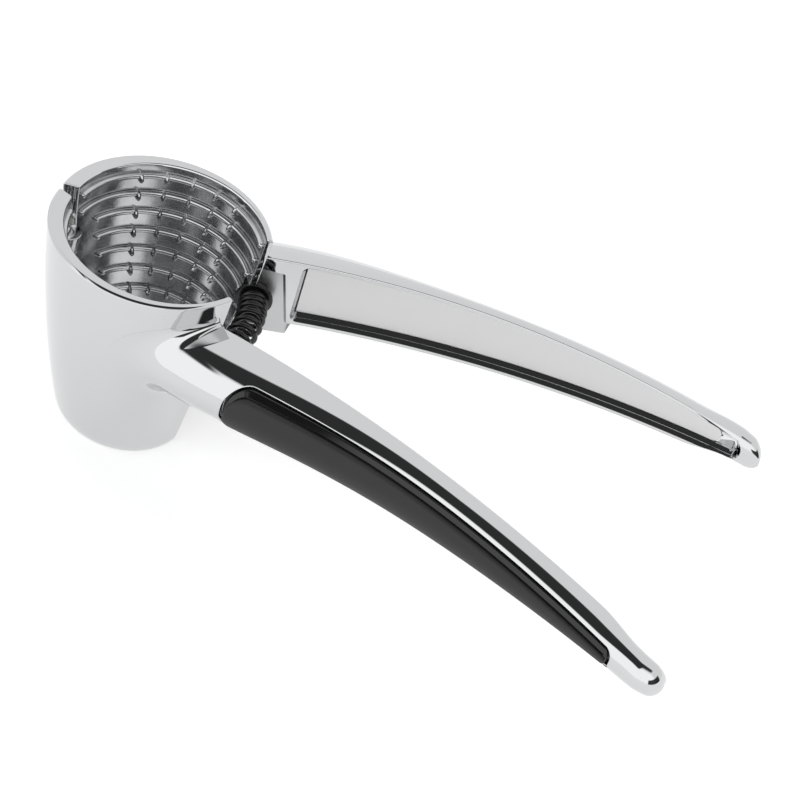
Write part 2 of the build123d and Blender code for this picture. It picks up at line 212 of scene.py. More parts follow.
class HandleSizes(bpy.types.PropertyGroup):
    """Handle: its edges seen from the side and from above, its section and its tip."""

    root: size("Root", "Root station, from the hinge end", 50.0)
    middle: size("Middle", "Middle station, from the hinge end", 112.0)
    end: size("End", "End station, from the hinge end", 180.0)
    root_top: size("Root top", "Top edge at the root", 47.2)
    middle_top: size("Middle top", "Top edge at the middle", 48.2)
    end_top: size("End top", "Top edge at the end", 33.1)
    root_bottom: size("Root bottom", "Bottom edge at the root", 26.3)
    middle_bottom: size("Middle bottom", "Bottom edge at the middle", 30.2)
    end_bottom: size("End bottom", "Bottom edge at the end", 23.9)
    root_inner: size("Root inner face", "Inner face at the root, from the middle plane", 14.9)
    middle_inner: size("Middle inner face", "Inner face at the middle, from the middle plane", 29.8)
    end_inner: size("End inner face", "Inner face at the end, from the middle plane", 42.8)
    root_thickness: size("Root thickness", "Thickness at the root", 16.0)
    end_thickness: size("End thickness", "Thickness at the end station", 8.2)
    tip_thickness: size("Tip thickness", "Thickness at the tip", 6.0)
    swell_length: size("Swell length", "Length over which the root's extra thickness fades", 41.0)
    blunt_start: size("Blunt start", "Where the inner face starts to round over, from the hinge end", 166.0)
    blunt_length: size("Blunt length", "Length over which it rounds over", 12.0)
    tip_rounding: size("Tip rounding", "Radius of the tip seen from the side", 3.8)
    tip_side_rounding: size("Tip side rounding", "Radius of the tip's outer side seen from above", 4.2)
    edge_rounding: size("Edge rounding", "Radius of the two edges of the inner face", 0.45)
    blunt_height_share: number("Blunt height", "Most rounding at the tip, of half its height", 0.75)
    blunt_side_share: number("Blunt side", "Most rounding at the tip, of its thickness", 0.38)
    root_depth: size("Root depth", "How deep the handle starts in the cup wall", 1.5)
    fillet_reach: size("Fillet reach", "Reach of the root fillet above and below", 2.2)
    fillet_side_reach: size("Fillet side reach", "Added to the fillet's reach at the side", 6.0)


class SeatSizes(bpy.types.PropertyGroup):
    """Spring, its flanged cups and the seats on the handle roots."""

    depth: size("Seat depth", "Depth of the seat below the inner face", 1.2)
    edge: size("Seat edge", "Leaning ridge at the height of the spring, from the hinge end", 59.9)
    lean: angle("Seat lean", "Lean of the ridge", 12.7)
    slope: angle("Seat slope", "Slope of the step between the ridge and the seat", 42.0)
    roof: size("Roof", "Height of the roof over the seat", 43.5)
    web_start: size("Web start", "Start of the seat web in the cup wall, from the hinge end", 48.6)
    web_low: size("Web low", "Lower edge of the seat web at the cup", 21.6)
    web_high: size("Web high", "Lower edge of the seat web at the foot of the step", 23.2)
    web_thickness: size("Web thickness", "Thickness of the seat web", 1.3)
    web_edge_share: number("Web edge", "Height of the rounded lower edge, of half the thickness", 0.6)
    web_top: size("Web top", "Upper edge of the web, inside the handle", 32.0)
    web_spread: size("Web spread", "Added to its thickness at the upper edge, inside the handle", 2.5)
    cut_length: size("Cut length", "Length of the cut for the seat, from the ridge", 32.0)
    cut_bottom: size("Cut bottom", "Lower end of the cut for the seat", -10.0)
    from_end: size("Spring place", "Spring axis on the seats, from the hinge end", 51.6)
    height: size("Spring height", "Height of the spring axis", 34.5)
    coil_radius: size("Coil radius", "Outer radius of the coils", 4.0)
    wire_radius: size("Wire radius", "Radius of the spring wire", 0.75)
    turns: count("Turns", "Turns of the spring", 10)
    closing: number("Closing", "How much closer the end turns lie", 0.35)
    bow: size("Bow", "How far the middle of the spring bulges away from the hinge", 0.8)
    washer_radius: size("Flange radius", "Radius of the spring cup's flange", 4.9)
    sleeve_radius: size("Sleeve radius", "Radius of the spring cup's sleeve", 3.7)
    sleeve_length: size("Sleeve length", "Length of the spring cup's sleeve", 2.1)
    washer_thickness: size("Flange thickness", "Thickness of the spring cup's flange", 1.1)
    washer_bore: size("Bore", "Radius of the spring cup's bore", 2.3)
    washer_rounding: size("Cup rounding", "Radius of the spring cup's edges", 0.3)
    pocket_clearance: size("Pocket clearance", "Clearance round the spring cup", 0.4)
    pocket_length: size("Pocket length", "Length of that clearance along the spring", 28.0)
    gap: size("Gap", "Gap between stacked pieces", 0.1)


class InlaySizes(bpy.types.PropertyGroup):
    """Grip on the outer face and plate in the recess of the inner face."""

    grip_start: size("Grip start", "Start of the grip pocket, from the hinge end", 62.0)
    grip_end: size("Grip end", "End of the grip pocket, from the hinge end", 172.5)
    grip_start_rounding: size("Grip start rounding", "Radius at the root end of the pocket", 6.5)
    grip_end_rounding: size("Grip end rounding", "Radius at the tip end of the pocket", 1.9)
    grip_top_edge: size("Grip top edge", "Pocket below the top edge of the handle", 2.9)
    grip_bottom_edge: size("Grip bottom edge", "Pocket above the bottom edge of the handle", 1.6)
    pocket_depth: size("Pocket depth", "Depth of the grip pocket", 2.6)
    carrier_thickness: size("Carrier thickness", "Thickness of the gloss carrier", 1.4)
    pad_top_step: size("Pad top step", "Pad below the top edge of the pocket", 2.35)
    pad_side_step: size("Pad side step", "Pad in from the other edges of the pocket", 0.9)
    pad_proud: size("Pad height", "How far the pad stands proud of the handle", 0.7)
    pad_rounding: size("Pad rounding", "Radius of the pad's upper edge", 0.8)
    recess_start: size("Recess start", "Start of the inner recess's floor, from the hinge end", 62.2)
    recess_end: size("Recess end", "End of the inner recess's floor, from the hinge end", 180.6)
    recess_top_flange: size("Upper flange", "Flange above the recess", 0.9)
    recess_flange: size("Lower flange", "Flange below the recess", 1.2)
    trough_width: size("Trough width", "Width of the sloped wall round the recess", 1.6)
    trough_step: size("Trough step", "Height of the small step half-way up the sloped wall", 0.15)
    trough_past: number("Past the face", "How far the cut goes on past the face, of its width", 1.6)
    recess_depth: size("Recess depth", "Depth of the recess", 3.0)
    recess_near_share: number("Root end share", "Part of the sloped wall's width at the root end", 0.35)
    recess_far_share: number("Tip end share", "Part of the sloped wall's width at the tip end", 0.5)
    recess_corner: size("Recess corner", "Radius at the root end of the recess", 0.6)
    recess_end_rounding: size("Recess end rounding", "Radius at the tip end of the recess floor", 1.6)
    clearance: size("Clearance", "Gap between a piece and its pocket", 0.1)
    plate_thickness: size("Plate thickness", "Thickness of the satin plate", 0.7)
    hollow_depth: size("Hollow depth", "Extra depth of the recess's hollow past the plate", 1.8)
    hollow_run: size("Hollow run", "Length under the plate's end over which the hollow starts", 2.5)
    plate_end: size("Plate end", "End of the satin plate, from the hinge end", 175.2)
    plate_end_rounding: size("Plate end rounding", "Radius at the tip end of the plate", 2.1)


class StageSizes(bpy.types.PropertyGroup):
    """Camera, floor and light tent."""

    azimuth: angle("Azimuth", "Turn of the camera round the object, from the front to the right", 8.0)
    elevation: angle("Elevation", "Height of the camera as an angle", 41.0)
    roll: angle("Roll", "Turn of the camera about its own axis", 18.7)
    distance: size("Distance", "Camera to its aim", 740.0)
    aim_x: size("Aim X", "X of the camera's aim", 4.7)
    aim_y: size("Aim Y", "Y of the camera's aim", 1.6)
    aim_z: size("Aim Z", "Z of the camera's aim", 34.0)
    lens: number("Lens", "Focal length in millimetres", 132.55)
    sensor: number("Sensor", "Sensor width in millimetres", 36.0)
    floor_reach: size("Floor reach", "Half the side of the floor", 3000.0)
    lift: number("Paper lift", "Light added to the paper where it is seen", 0.49)
    tent_level: number("Tent level", "Brightness of the light tent", 1.0)
    front_level: number("Front level", "Its brightness low in front", 1.4)
    dark_share: number("Dark share", "Brightness of its dark parts, as a share", 0.04)


class FinishColours(bpy.types.PropertyGroup):
    """Colours of the finishes."""

    chrome: colour("Chrome", "Polished chrome plate", "#CCCDCE")
    cast_dark: colour("Cast chrome, dark", "Darker clouds of the plated casting skin", "#A9AAAB")
    cast_light: colour("Cast chrome, light", "Lighter clouds of the plated casting skin", "#CBCCCD")
    seat: colour("Seat", "Satin chrome of the spring seats", "#CBCCCD")
    plate: colour("Plate", "Satin aluminium plates", "#D3D3D3")
    pin: colour("Pin", "Ground steel pin", "#B9B8B5")
    spring: colour("Spring", "Blackened spring steel", "#0C0C0C")
    washer: colour("Spring cup", "Black nylon", "#0E0E0E")
    carrier: colour("Carrier", "Gloss black ABS", "#141414")
    pad: colour("Pad", "Soft black elastomer", "#222222")
    paper: colour("Floor", "Seamless paper", "#E4E4E4")


# Profiles let into the handle: (inset, depth) of each point, in millimetres from the outline and the face.
POCKET_LIP = ((0, 0.3), (-0.08, 0.1), (-0.3, 0), (-0.3, -2))
# The carrier's flange, its wall with a rounded edge, the slope of its rim and the edge round the pad.
CARRIER_RIM = ((0.12, 2.3), (0.65, 2.3), (0.68, 0.75), (0.78, 0.6), (0.9, 0.55), (1.75, 0.15), (1.9, 0.3))
PLATE_EDGE = ((0, 0.2), (0.06, 0.06), (0.2, 0))


# Mesh making


def quads(rows, columns, close_rows=False, close_columns=False):
    """Corner indices of the quads of a grid of points, wrapped round in either direction if asked."""
    u = np.arange(rows if close_rows else rows - 1)[:, None]
    v = np.arange(columns if close_columns else columns - 1)[None, :]
    next_u, next_v = (u + 1) % rows, (v + 1) % columns
    corners = (u * columns + v, u * columns + next_v, next_u * columns + next_v, next_u * columns + v)
    return np.stack(np.broadcast_arrays(*corners), axis=-1).reshape(-1, 4)


def grid(points, **closing):
    """Points and quads of one surface from an array of rows, columns and coordinates."""
    return points.reshape(-1, 3), quads(points.shape[0], points.shape[1], **closing)


def capped(rings):
    """Points and quads of a tube of closed rings, with each end closed to the middle of its ring."""
    ends = rings[:1], rings[-1:]
    first, last = (end.mean(axis=1, keepdims=True) * np.ones_like(end) for end in ends)
    return grid(np.concatenate((first, rings, last)), close_columns=True)


def zip_cap(points, row):
    """Quads that close a ring, the row of a grid, by joining each point to the one across the ring."""
    columns = points.shape[1]
    near = np.arange(columns // 2 - 1)
    far = columns - 1 - near
    return np.stack((near, near + 1, far - 1, far), axis=-1) + row * columns


def closed_shell(points, faces):
    """Mesh of one surface, closed by merging its doubles, with its faces turned outwards."""
    shell = bpy.data.meshes.new("shell")
    shell.vertices.add(len(points))
    shell.vertices.foreach_set("co", points.astype(np.float32).ravel())
    shell.loops.add(faces.size)
    shell.loops.foreach_set("vertex_index", faces.astype(np.int32).ravel())
    shell.polygons.add(len(faces))
    shell.polygons.foreach_set("loop_start", np.arange(0, faces.size, 4, dtype=np.int32))
    shell.update(calc_edges=True)
    part = bmesh.new()
    part.from_mesh(shell)
    bmesh.ops.remove_doubles(part, verts=part.verts, dist=MERGED)
    bmesh.ops.dissolve_degenerate(part, edges=part.edges, dist=MERGED / 10)
    if part.calc_volume(signed=True) < 0:
        bmesh.ops.reverse_faces(part, faces=part.faces)
    part.to_mesh(shell)
    part.free()
    return shell


def joined(name, meshes):
    """One mesh of several."""
    whole = bmesh.new()
    for mesh in meshes:
        whole.from_mesh(mesh)
    mesh = bpy.data.meshes.new(name)
    whole.to_mesh(mesh)
    whole.free()
    mesh.shade_smooth()
    return mesh


def make_mesh(name, *surfaces):
    """Mesh of several closed surfaces, each given as its points and quads."""
    shells = [closed_shell(points, faces) for points, faces in surfaces]
    mesh = joined(name, shells)
    for shell in shells:
        bpy.data.meshes.remove(shell)
    return mesh


def add_object(name, mesh):
    """Object at the origin that shows a mesh."""
    piece = bpy.data.objects.new(name, mesh)
    bpy.context.scene.collection.objects.link(piece)
    return piece


def carved(mesh, *cutter_meshes):
    """Copy of a mesh with closed meshes cut out of it."""
    piece = add_object("piece", mesh)
    cutters = [add_object("cutter", cutter_mesh) for cutter_mesh in cutter_meshes]
    for cutter in cutters:
        modifier = piece.modifiers.new("cut", "BOOLEAN")
        modifier.operation = "DIFFERENCE"
        modifier.solver = "EXACT"
        modifier.object = cutter
    graph = bpy.context.evaluated_depsgraph_get()
    finished = bpy.data.meshes.new_from_object(piece.evaluated_get(graph))
    slivers = bmesh.new()
    slivers.from_mesh(finished)
    bmesh.ops.dissolve_degenerate(slivers, edges=slivers.edges, dist=SLIVER)
    slivers.to_mesh(finished)
    slivers.free()
    for helper in (piece, *cutters):
        bpy.data.objects.remove(helper)
    return finished


def sharpen(mesh, degrees=32):
    """Shade a mesh smooth, apart from edges that turn by more than an angle."""
    mesh.shade_smooth()
    mesh.set_sharp_from_angle(angle=np.radians(degrees))


def on_side(mesh, side, name):
    """The mesh itself for the rear arm, or its mirror image in Y, faces outwards, for the front arm."""
    if side == "rear":
        return mesh
    copy = mesh.copy()
    copy.name = name
    copy.transform(Matrix.Scale(-1, 4, (0, 1, 0)))
    copy.flip_normals()
    return copy


def finish_piece(piece, body, node):
    """Put a piece on its body, and let it stand for its frame node."""
    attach(piece, body)
    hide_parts(node)


def add_pair(name, surface, material, node, degrees=32):
    """A piece on the rear arm and its mirror image on the front arm, in place of their frame nodes."""
    mesh = make_mesh(f"rear_{name}", surface)
    sharpen(mesh, degrees)
    mesh.materials.append(material)
    for side, body in arms.items():
        piece_name = f"{side}_{name}"
        piece = add_object(piece_name, on_side(mesh, side, piece_name))
        finish_piece(piece, body, f"{side}_{node}")


# Shapes


def unit(vectors):
    """Vectors brought to length one."""
    return vectors / np.linalg.norm(vectors, axis=-1, keepdims=True)


def square_to(axis, vectors):
    """Unit vectors square to an axis: what is left of vectors without their part along it."""
    return unit(vectors - axis * (vectors * axis).sum(-1, keepdims=True))


def on_circle(centre_x, centre_y, radius, phi, z):
    """Points at an angle round upright axes: centre + radius * (cos phi, sin phi)."""
    x, y = centre_x + radius * np.cos(phi), centre_y + radius * np.sin(phi)
    return np.stack(np.broadcast_arrays(x, y, z), axis=-1)


def from_end(distance):
    """X of a place measured from the hinge end."""
    return hinge_end + distance


def circle_height(points, x):
    """Height at x of the circle through three (x, height) points."""
    (x1, h1), (x2, h2), (x3, h3) = points
    a2, b2, c2 = x2 - x1, h2 - h1, (x2**2 - x1**2 + h2**2 - h1**2) / 2
    a3, b3, c3 = x3 - x1, h3 - h1, (x3**2 - x1**2 + h3**2 - h1**2) / 2
    cross = a2 * b3 - a3 * b2
    centre_x = (c2 * b3 - c3 * b2) / cross
    centre_h = (a2 * c3 - a3 * c2) / cross
    radius = np.hypot(x1 - centre_x, h1 - centre_h)
    side = 1 if h2 > centre_h else -1
    return centre_h + side * np.sqrt(radius**2 - (x - centre_x) ** 2)


def parabola(heights, values, z):
    """Value at z of the parabola through three (height, value) points."""
    (h1, h2, h3), (v1, v2, v3) = heights, values
    low = (z - h2) * (z - h3) / ((h1 - h2) * (h1 - h3))
    middle = (z - h1) * (z - h3) / ((h2 - h1) * (h2 - h3))
    high = (z - h1) * (z - h2) / ((h3 - h1) * (h3 - h2))
    return low * v1 + middle * v2 + high * v3


def cup_circle(cup, z, radii, centres, offsets):
    """Radius, centre X and centre Y at height z: parabolas through their values at base, belly and rim."""
    heights = (0.0, cup.belly_height, cup.depth)
    return parabola(heights, radii, z), parabola(heights, centres, z), parabola(heights, offsets, z)


def cup_outside(cup, z):
    """Radius, centre X and centre Y of the outside of the cup at height z."""
    radii = (cup.base_radius, cup.belly_radius, cup.rim_radius)
    insets = (cup.base_inset, cup.belly_inset, 0.0)
    centres = [from_end(inset + radius) for inset, radius in zip(insets, radii)]
    return cup_circle(cup, z, radii, centres, (cup.base_offset, cup.belly_offset, cup.rim_offset))


def cup_funnel(cup, z):
    """Radius, centre X and centre Y of the funnel at height z."""
    radii = (cup.funnel_base_radius, cup.funnel_belly_radius, cup.funnel_rim_radius)
    distances = (cup.funnel_base_centre, cup.funnel_belly_centre, cup.funnel_rim_centre)
    offsets = (cup.funnel_base_offset, cup.funnel_belly_offset, cup.funnel_rim_offset)
    return cup_circle(cup, z, radii, [from_end(distance) for distance in distances], offsets)


def parting_angle(cup, radius, centre_x, centre_y, distance, at_hinge):
    """Angle round a circle's centre at which it meets the parting face, or a plane behind it by a distance.

    In the frame of the closed jaw the face is the line y = 0 at the opening and y = the half slit at the
    hinge. A circle whose centre has y = c there meets the line y = d where radius * sin(angle) = d - c.
    """
    turn = cup.open_angle
    centre = centre_y * np.cos(turn) - (centre_x - pin_x) * np.sin(turn)
    level = (cup.slit_half_width if at_hinge else 0.0) + distance
    inside = np.arcsin((level - centre) / radius)
    return turn + (np.pi - inside if at_hinge else inside)


def quarter(steps):
    """Angles of a quarter turn, ends included."""
    return np.linspace(0, np.pi / 2, steps)


def rim_edge(cup):
    """Bevelled outer edge of the rim, from the wall to the flat: how far in and how far down each point is.

    It turns from upright to the bevel's tilt on a small arc, runs straight, and turns level on another.
    """
    tilt, small = cup.bevel_tilt, cup.rim_rounding
    first, last = np.linspace(np.pi / 2, tilt, 6), np.linspace(tilt, 0, 6)
    bevel_in = small * (1 - np.sin(tilt)) + cup.rim_bevel * np.cos(tilt)
    bevel_up = small * np.cos(tilt) + cup.rim_bevel * np.sin(tilt)
    inset = np.concatenate((small * (1 - np.sin(first)), bevel_in + small * (np.sin(tilt) - np.sin(last))))
    rise = np.concatenate((small * np.cos(first), bevel_up + small * (np.cos(last) - np.cos(tilt))))
    return inset, rise[-1] - rise


def cup_profile(cup):
    """Closed section of the cup wall: radius, height, centre X and centre Y of each point.

    From the middle of the base ring it runs out and up: base rounding, outer wall, bevel, rim, mouth
    rounding, funnel, lower mouth edge, base ring.
    """
    depth, low, rise = cup.depth, cup.base_rounding, cup.base_rise
    mouth, edge = cup.mouth_rounding, cup.edge_break
    bevel_in, bevel_down = rim_edge(cup)
    turn, small = quarter(14), quarter(6)
    wall_z = np.linspace(rise, depth - bevel_down[0], 60)[1:-1]
    funnel_z = np.linspace(depth - mouth, edge, 66)[1:-1]

    outer_z = np.concatenate((rise * (1 - np.cos(turn)), wall_z, depth - bevel_down))
    outer_in = np.concatenate((low * (1 - np.sin(turn)), 0 * wall_z, bevel_in))
    inner_z = np.concatenate((depth - mouth * (1 - np.cos(small)), funnel_z, edge * (1 - np.sin(small))))
    inner_in = np.concatenate((mouth * (1 - np.sin(small)), 0 * funnel_z, edge * (1 - np.cos(small))))

    outer_radius, outer_x, outer_y = cup_outside(cup, outer_z)
    inner_radius, inner_x, inner_y = cup_funnel(cup, inner_z)
    outer = np.stack((outer_radius - outer_in, outer_z, outer_x, outer_y))
    inner = np.stack((inner_radius + inner_in, inner_z, inner_x, inner_y))

    def join(start, end, steps):
        share = np.linspace(0, 1, steps + 2)[None, 1:-1]
        return start[:, None] * (1 - share) + end[:, None] * share

    rim = join(outer[:, -1], inner[:, 0], 6)
    ring = join(inner[:, -1], outer[:, 0], 4)
    return np.concatenate((ring[:, 2:], outer, rim, inner, ring[:, :2]), axis=1)


def cup_surface(cup):
    """Half cup: its closed section carried from the opening to the hinge, and closed at both parting faces.

    Near a parting face the section is drawn in along its own normals, by the height of the edge's rounding.
    """
    radius, z, centre_x, centre_y = cup_profile(cup)
    outline = np.stack((radius, z), axis=-1)
    along = unit(np.roll(outline, -1, axis=0) - np.roll(outline, 1, axis=0))
    inward_radius, inward_z = -along[:, 1], along[:, 0]

    edge = quarter(5)
    ends = []
    for at_hinge in (False, True):
        for back, drawn in zip(cup.edge_break * (1 - np.cos(edge)), cup.edge_break * (1 - np.sin(edge))):
            ring_radius = radius + inward_radius * drawn
            phi = parting_angle(cup, ring_radius, centre_x, centre_y, back, at_hinge)
            ends.append((ring_radius, z + inward_z * drawn, phi))
    first, last = ends[: len(edge)], ends[: len(edge) - 1 : -1]
    share = np.linspace(0, 1, 200)[1:-1, None]
    middle = [(radius, z, phi) for phi in first[-1][2] + (last[0][2] - first[-1][2]) * share]
    radii, heights, phis = (np.stack(rows) for rows in zip(*first, *middle, *last))
    points = on_circle(centre_x, centre_y, radii, phis, heights)
    caps = zip_cap(points, 0)[:, ::-1], zip_cap(points, len(points) - 1)
    return points.reshape(-1, 3), np.concatenate((quads(*points.shape[:2], close_columns=True), *caps))


def rib_surfaces(cup, ribs):
    """Ribs: a round bar along the funnel wall at each height, with ends like half spheres."""
    surfaces = []
    turn, end = np.linspace(0, 2 * np.pi, 13)[:-1], quarter(6)
    for index in range(ribs.count):
        height = cup.depth - ribs.first_drop - ribs.pitch * index
        radius, centre_x, centre_y = cup_funnel(cup, height)
        cap = ribs.radius / radius
        start_inset = ribs.end_inset + ribs.end_step * index
        stop_inset = ribs.slit_inset if index < ribs.long_ribs else ribs.lower_slit_inset
        start = parting_angle(cup, radius, centre_x, centre_y, start_inset, False) + cap
        stop = parting_angle(cup, radius, centre_x, centre_y, stop_inset, True) - cap
        middle = np.linspace(start, stop, 90)[1:-1]
        phi = np.concatenate((start - cap * np.cos(end), middle, stop + cap * np.sin(end)))
        thick = np.concatenate((np.sin(end), np.ones_like(middle), np.cos(end)))[:, None] * ribs.radius
        out = radius - ribs.stand_off - thick * np.cos(turn)
        points = on_circle(centre_x, centre_y, out, phi[:, None], height + thick * np.sin(turn))
        surfaces.append(grid(points, close_columns=True))
    return surfaces


def tooth_surfaces(cup, ribs):
    """Teeth: upright ellipsoids half sunk in the wall, one across each rib in each column."""
    surfaces = []
    around = np.linspace(0, 2 * np.pi, 13)[None, :-1]
    down = np.linspace(0, np.pi, 9)[:, None]
    stand = ribs.tooth_height * np.sin(down) * np.cos(around)
    across = ribs.tooth_radius * np.sin(down) * np.sin(around)
    for index, column in np.ndindex(ribs.count, ribs.tooth_columns):
        height = cup.depth - ribs.first_drop - ribs.pitch * index
        z = height - ribs.tooth_drop + ribs.tooth_length / 2 * np.cos(down) + 0 * around
        radius, centre_x, centre_y = cup_funnel(cup, z)
        phi = np.pi - ribs.first_angle - ribs.step_angle * column
        x = centre_x + (radius - stand) * np.cos(phi) - across * np.sin(phi)
        y = centre_y + (radius - stand) * np.sin(phi) + across * np.cos(phi)
        surfaces.append(grid(np.stack((x, y, z), axis=-1), close_columns=True))
    return surfaces


def handle_lines(handle, x):
    """Inner face Y, top Z, bottom Z and thickness of the rear handle at x, before its tip is rounded."""
    stations = [from_end(distance) for distance in (handle.root, handle.middle, handle.end)]

    def line(*heights):
        return circle_height(list(zip(stations, heights)), x)

    swell = np.exp(-(((x - stations[0]) / handle.swell_length) ** 2))
    taper = np.clip((x - stations[2]) / (tip - stations[2]), 0, 1)
    thickness = handle.end_thickness + (handle.root_thickness - handle.end_thickness) * swell
    return (
        line(handle.root_inner, handle.middle_inner, handle.end_inner),
        line(handle.root_top, handle.middle_top, handle.end_top),
        line(handle.root_bottom, handle.middle_bottom, handle.end_bottom),
        thickness - (handle.end_thickness - handle.tip_thickness) * taper,
    )


def nose_drop(x, rounding):
    """How far a rounding of the tip draws a line in at x: a quarter circle that ends at the tip."""
    past = np.clip(x - (tip - rounding), 0, rounding)
    return rounding - np.sqrt(rounding**2 - past**2)


def handle_loop(handle, x):
    """Section of the handle at x: half an ellipse outside, and a flat inner face with rounded edges.

    x holds one value for each line along the handle. The lines run up the outer side and down the inner face.
    """
    inner, top, bottom, thickness = handle_lines(handle, x)
    top = top - nose_drop(x, handle.tip_rounding)
    bottom = bottom + nose_drop(x, handle.tip_rounding)
    thickness = thickness - nose_drop(x, handle.tip_side_rounding)
    middle, half = (top + bottom) / 2, (top - bottom) / 2
    toward_tip = smooth_step((x - from_end(handle.blunt_start)) / handle.blunt_length)
    blunt = np.minimum(half * handle.blunt_height_share, thickness * handle.blunt_side_share)
    edge = handle.edge_rounding + (blunt - handle.edge_rounding) * toward_tip

    outer, corner, flat = np.linspace(-np.pi / 2, np.pi / 2, 90), quarter(6), np.linspace(1, -1, 26)[1:-1]
    y_out = np.concatenate((np.cos(outer), 0 * corner[1:], 0 * flat, 0 * corner[1:]))
    y_back = np.concatenate((0 * outer, np.sin(corner[1:]), 1 + 0 * flat, np.cos(corner[:-1])))
    z_half = np.concatenate((np.sin(outer), 1 + 0 * corner[1:], flat, -1 + 0 * corner[1:]))
    z_edge = np.concatenate((0 * outer, np.cos(corner[1:]) - 1, -flat, 1 - np.sin(corner[:-1])))
    y = inner + edge + (thickness - edge) * y_out - edge * y_back
    z = middle + half * z_half + edge * z_edge
    return np.stack((x * np.ones_like(y), y, z), axis=-1)


def smooth_step(share):
    """Smooth step from 0 to 1 as a share runs from 0 to 1."""
    share = np.clip(share, 0, 1)
    return share**2 * (3 - 2 * share)


def above_wall(cup, points):
    """How far points are outside the cup's outer wall."""
    radius, centre_x, centre_y = cup_outside(cup, points[..., 2])
    return np.hypot(points[..., 0] - centre_x, points[..., 1] - centre_y) - radius


def meeting_x(cup, line, columns, depth):
    """X at which each line of a swept shape is below the cup's outer wall by a depth, found by halving."""
    past_cup = 2.5
    low = np.full(columns, from_end(cup.rim_radius))
    high = np.full(columns, from_end(past_cup * cup.rim_radius))
    for _ in range(40):
        middle = (low + high) / 2
        outside = above_wall(cup, line(middle)) > -depth
        high = np.where(outside, middle, high)
        low = np.where(outside, low, middle)
    return high


def handle_surface(cup, handle):
    """Handle: its section carried along X to the rounded tip.

    Each line along the handle starts inside the cup wall, and the start is closed along the wall.
    """
    rounding, columns = handle.tip_rounding, len(handle_loop(handle, tip))
    start = meeting_x(cup, lambda x: handle_loop(handle, x), columns, handle.root_depth)
    share = np.linspace(0, 1, 420)[:, None]
    run = start + (tip - rounding - start) * share
    nose = tip - rounding + rounding * np.sin(quarter(16)[1:, None]) * np.ones(columns)
    points = handle_loop(handle, np.concatenate((run, nose)))

    first = points[0]
    _, centre_x, centre_y = cup_outside(cup, first[:, 2])
    phi = np.arctan2(first[:, 1] - centre_y, first[:, 0] - centre_x)
    inward = np.linspace(0, 1, 12)[:-1, None]
    z = first[:, 2].mean() * (1 - inward) + first[:, 2] * inward
    phi = phi.mean() * (1 - inward) + phi * inward
    radius, centre_x, centre_y = cup_outside(cup, z)
    closing = on_circle(centre_x, centre_y, radius - handle.root_depth, phi, z)
    end = points[-1:].mean(axis=1, keepdims=True) * np.ones_like(points[:1])
    return grid(np.concatenate((closing, points, end)), close_columns=True)


def outer_face(handle, x, z, depth):
    """Y of the outer face of the handle at x and z, or of the face that is thinner by depth."""
    inner, top, bottom, thickness = handle_lines(handle, x)
    share = (2 * z - top - bottom) / (top - bottom)
    return inner + (thickness - depth) * np.sqrt(np.clip(1 - share**2, 0, 1))


def inner_face(handle, x, z, depth):
    """Y of a face behind the inner face of the handle by depth."""
    return handle_lines(handle, x)[0] + depth + 0 * z


def inlay_loop(handle, outline, inset, end_shares):
    """X and Z of a closed outline on the handle's side, drawn in by an inset, at its ends by a share of it.

    The outline is (start, end, insets, roundings). It runs from station to station, follows the handle's top
    and bottom edges at its two insets, and has a quarter circle at each corner, of its two roundings.
    """
    start, end, insets, roundings = outline
    top_inset, bottom_inset = insets[0] + inset, insets[1] + inset
    near, far = start + inset * end_shares[0], end - inset * end_shares[1]
    near_round, far_round = (max(rounding - inset, LEAST_ROUNDING) for rounding in roundings)
    turn = quarter(14)
    run = np.linspace(0, 1, 160)[1:-1]
    rise = np.linspace(0, 1, 10)[1:-1]

    near_x = near + near_round * (1 - np.sin(turn[::-1]))
    middle_x = near + near_round + (far - far_round - near - near_round) * run
    far_x = far - far_round + far_round * np.sin(turn)
    top_x = np.concatenate((near_x, middle_x, far_x))
    drop = np.concatenate((near_round * (1 - np.cos(turn[::-1])), 0 * run, far_round * (1 - np.cos(turn))))
    _, top, bottom, _ = handle_lines(handle, top_x)
    top_z, bottom_z = top - top_inset - drop, bottom + bottom_inset + drop
    far_z = top_z[-1] + (bottom_z[-1] - top_z[-1]) * rise
    near_z = bottom_z[0] + (top_z[0] - bottom_z[0]) * rise
    x = np.concatenate((top_x, far + 0 * rise, top_x[::-1], near + 0 * rise))
    return x, np.concatenate((top_z, far_z, bottom_z[::-1], near_z))


def inlay_surface(handle, face, outline, rows, end_shares=(1.0, 1.0), hollow=None):
    """Closed piece let into a face of the handle.

    Each row is (inset, depth): the outline drawn in by the inset, on the face at that depth. The first and
    the last row are also drawn in to the outline's middle line, which closes the piece on both sides. A
    hollow gives the extra depth inside the first row, from X and the share of the way out to the outline.
    """
    start, end, insets, roundings = outline
    loops = [(*inlay_loop(handle, outline, inset, end_shares), depth) for inset, depth in rows]

    def toward_middle(loop, shares):
        x, z, depth = loop
        middle_x = np.clip(x, start + roundings[0], end - roundings[1])
        _, top, bottom, _ = handle_lines(handle, middle_x)
        middle_z = (top - insets[0] + bottom + insets[1]) / 2
        return [(middle_x + (x - middle_x) * s, middle_z + (z - middle_z) * s, depth) for s in shares]

    shares = np.sqrt(np.linspace(0, 1, 12))[:-1]
    inside = toward_middle(loops[0], shares)
    if hollow:
        inside = [(x, z, depth + hollow(x, s)) for (x, z, depth), s in zip(inside, shares)]
    loops = inside + loops + toward_middle(loops[-1], shares)[::-1]
    points = np.stack([np.stack((x, face(handle, x, z, depth), z), axis=-1) for x, z, depth in loops])
    return grid(points, close_columns=True)


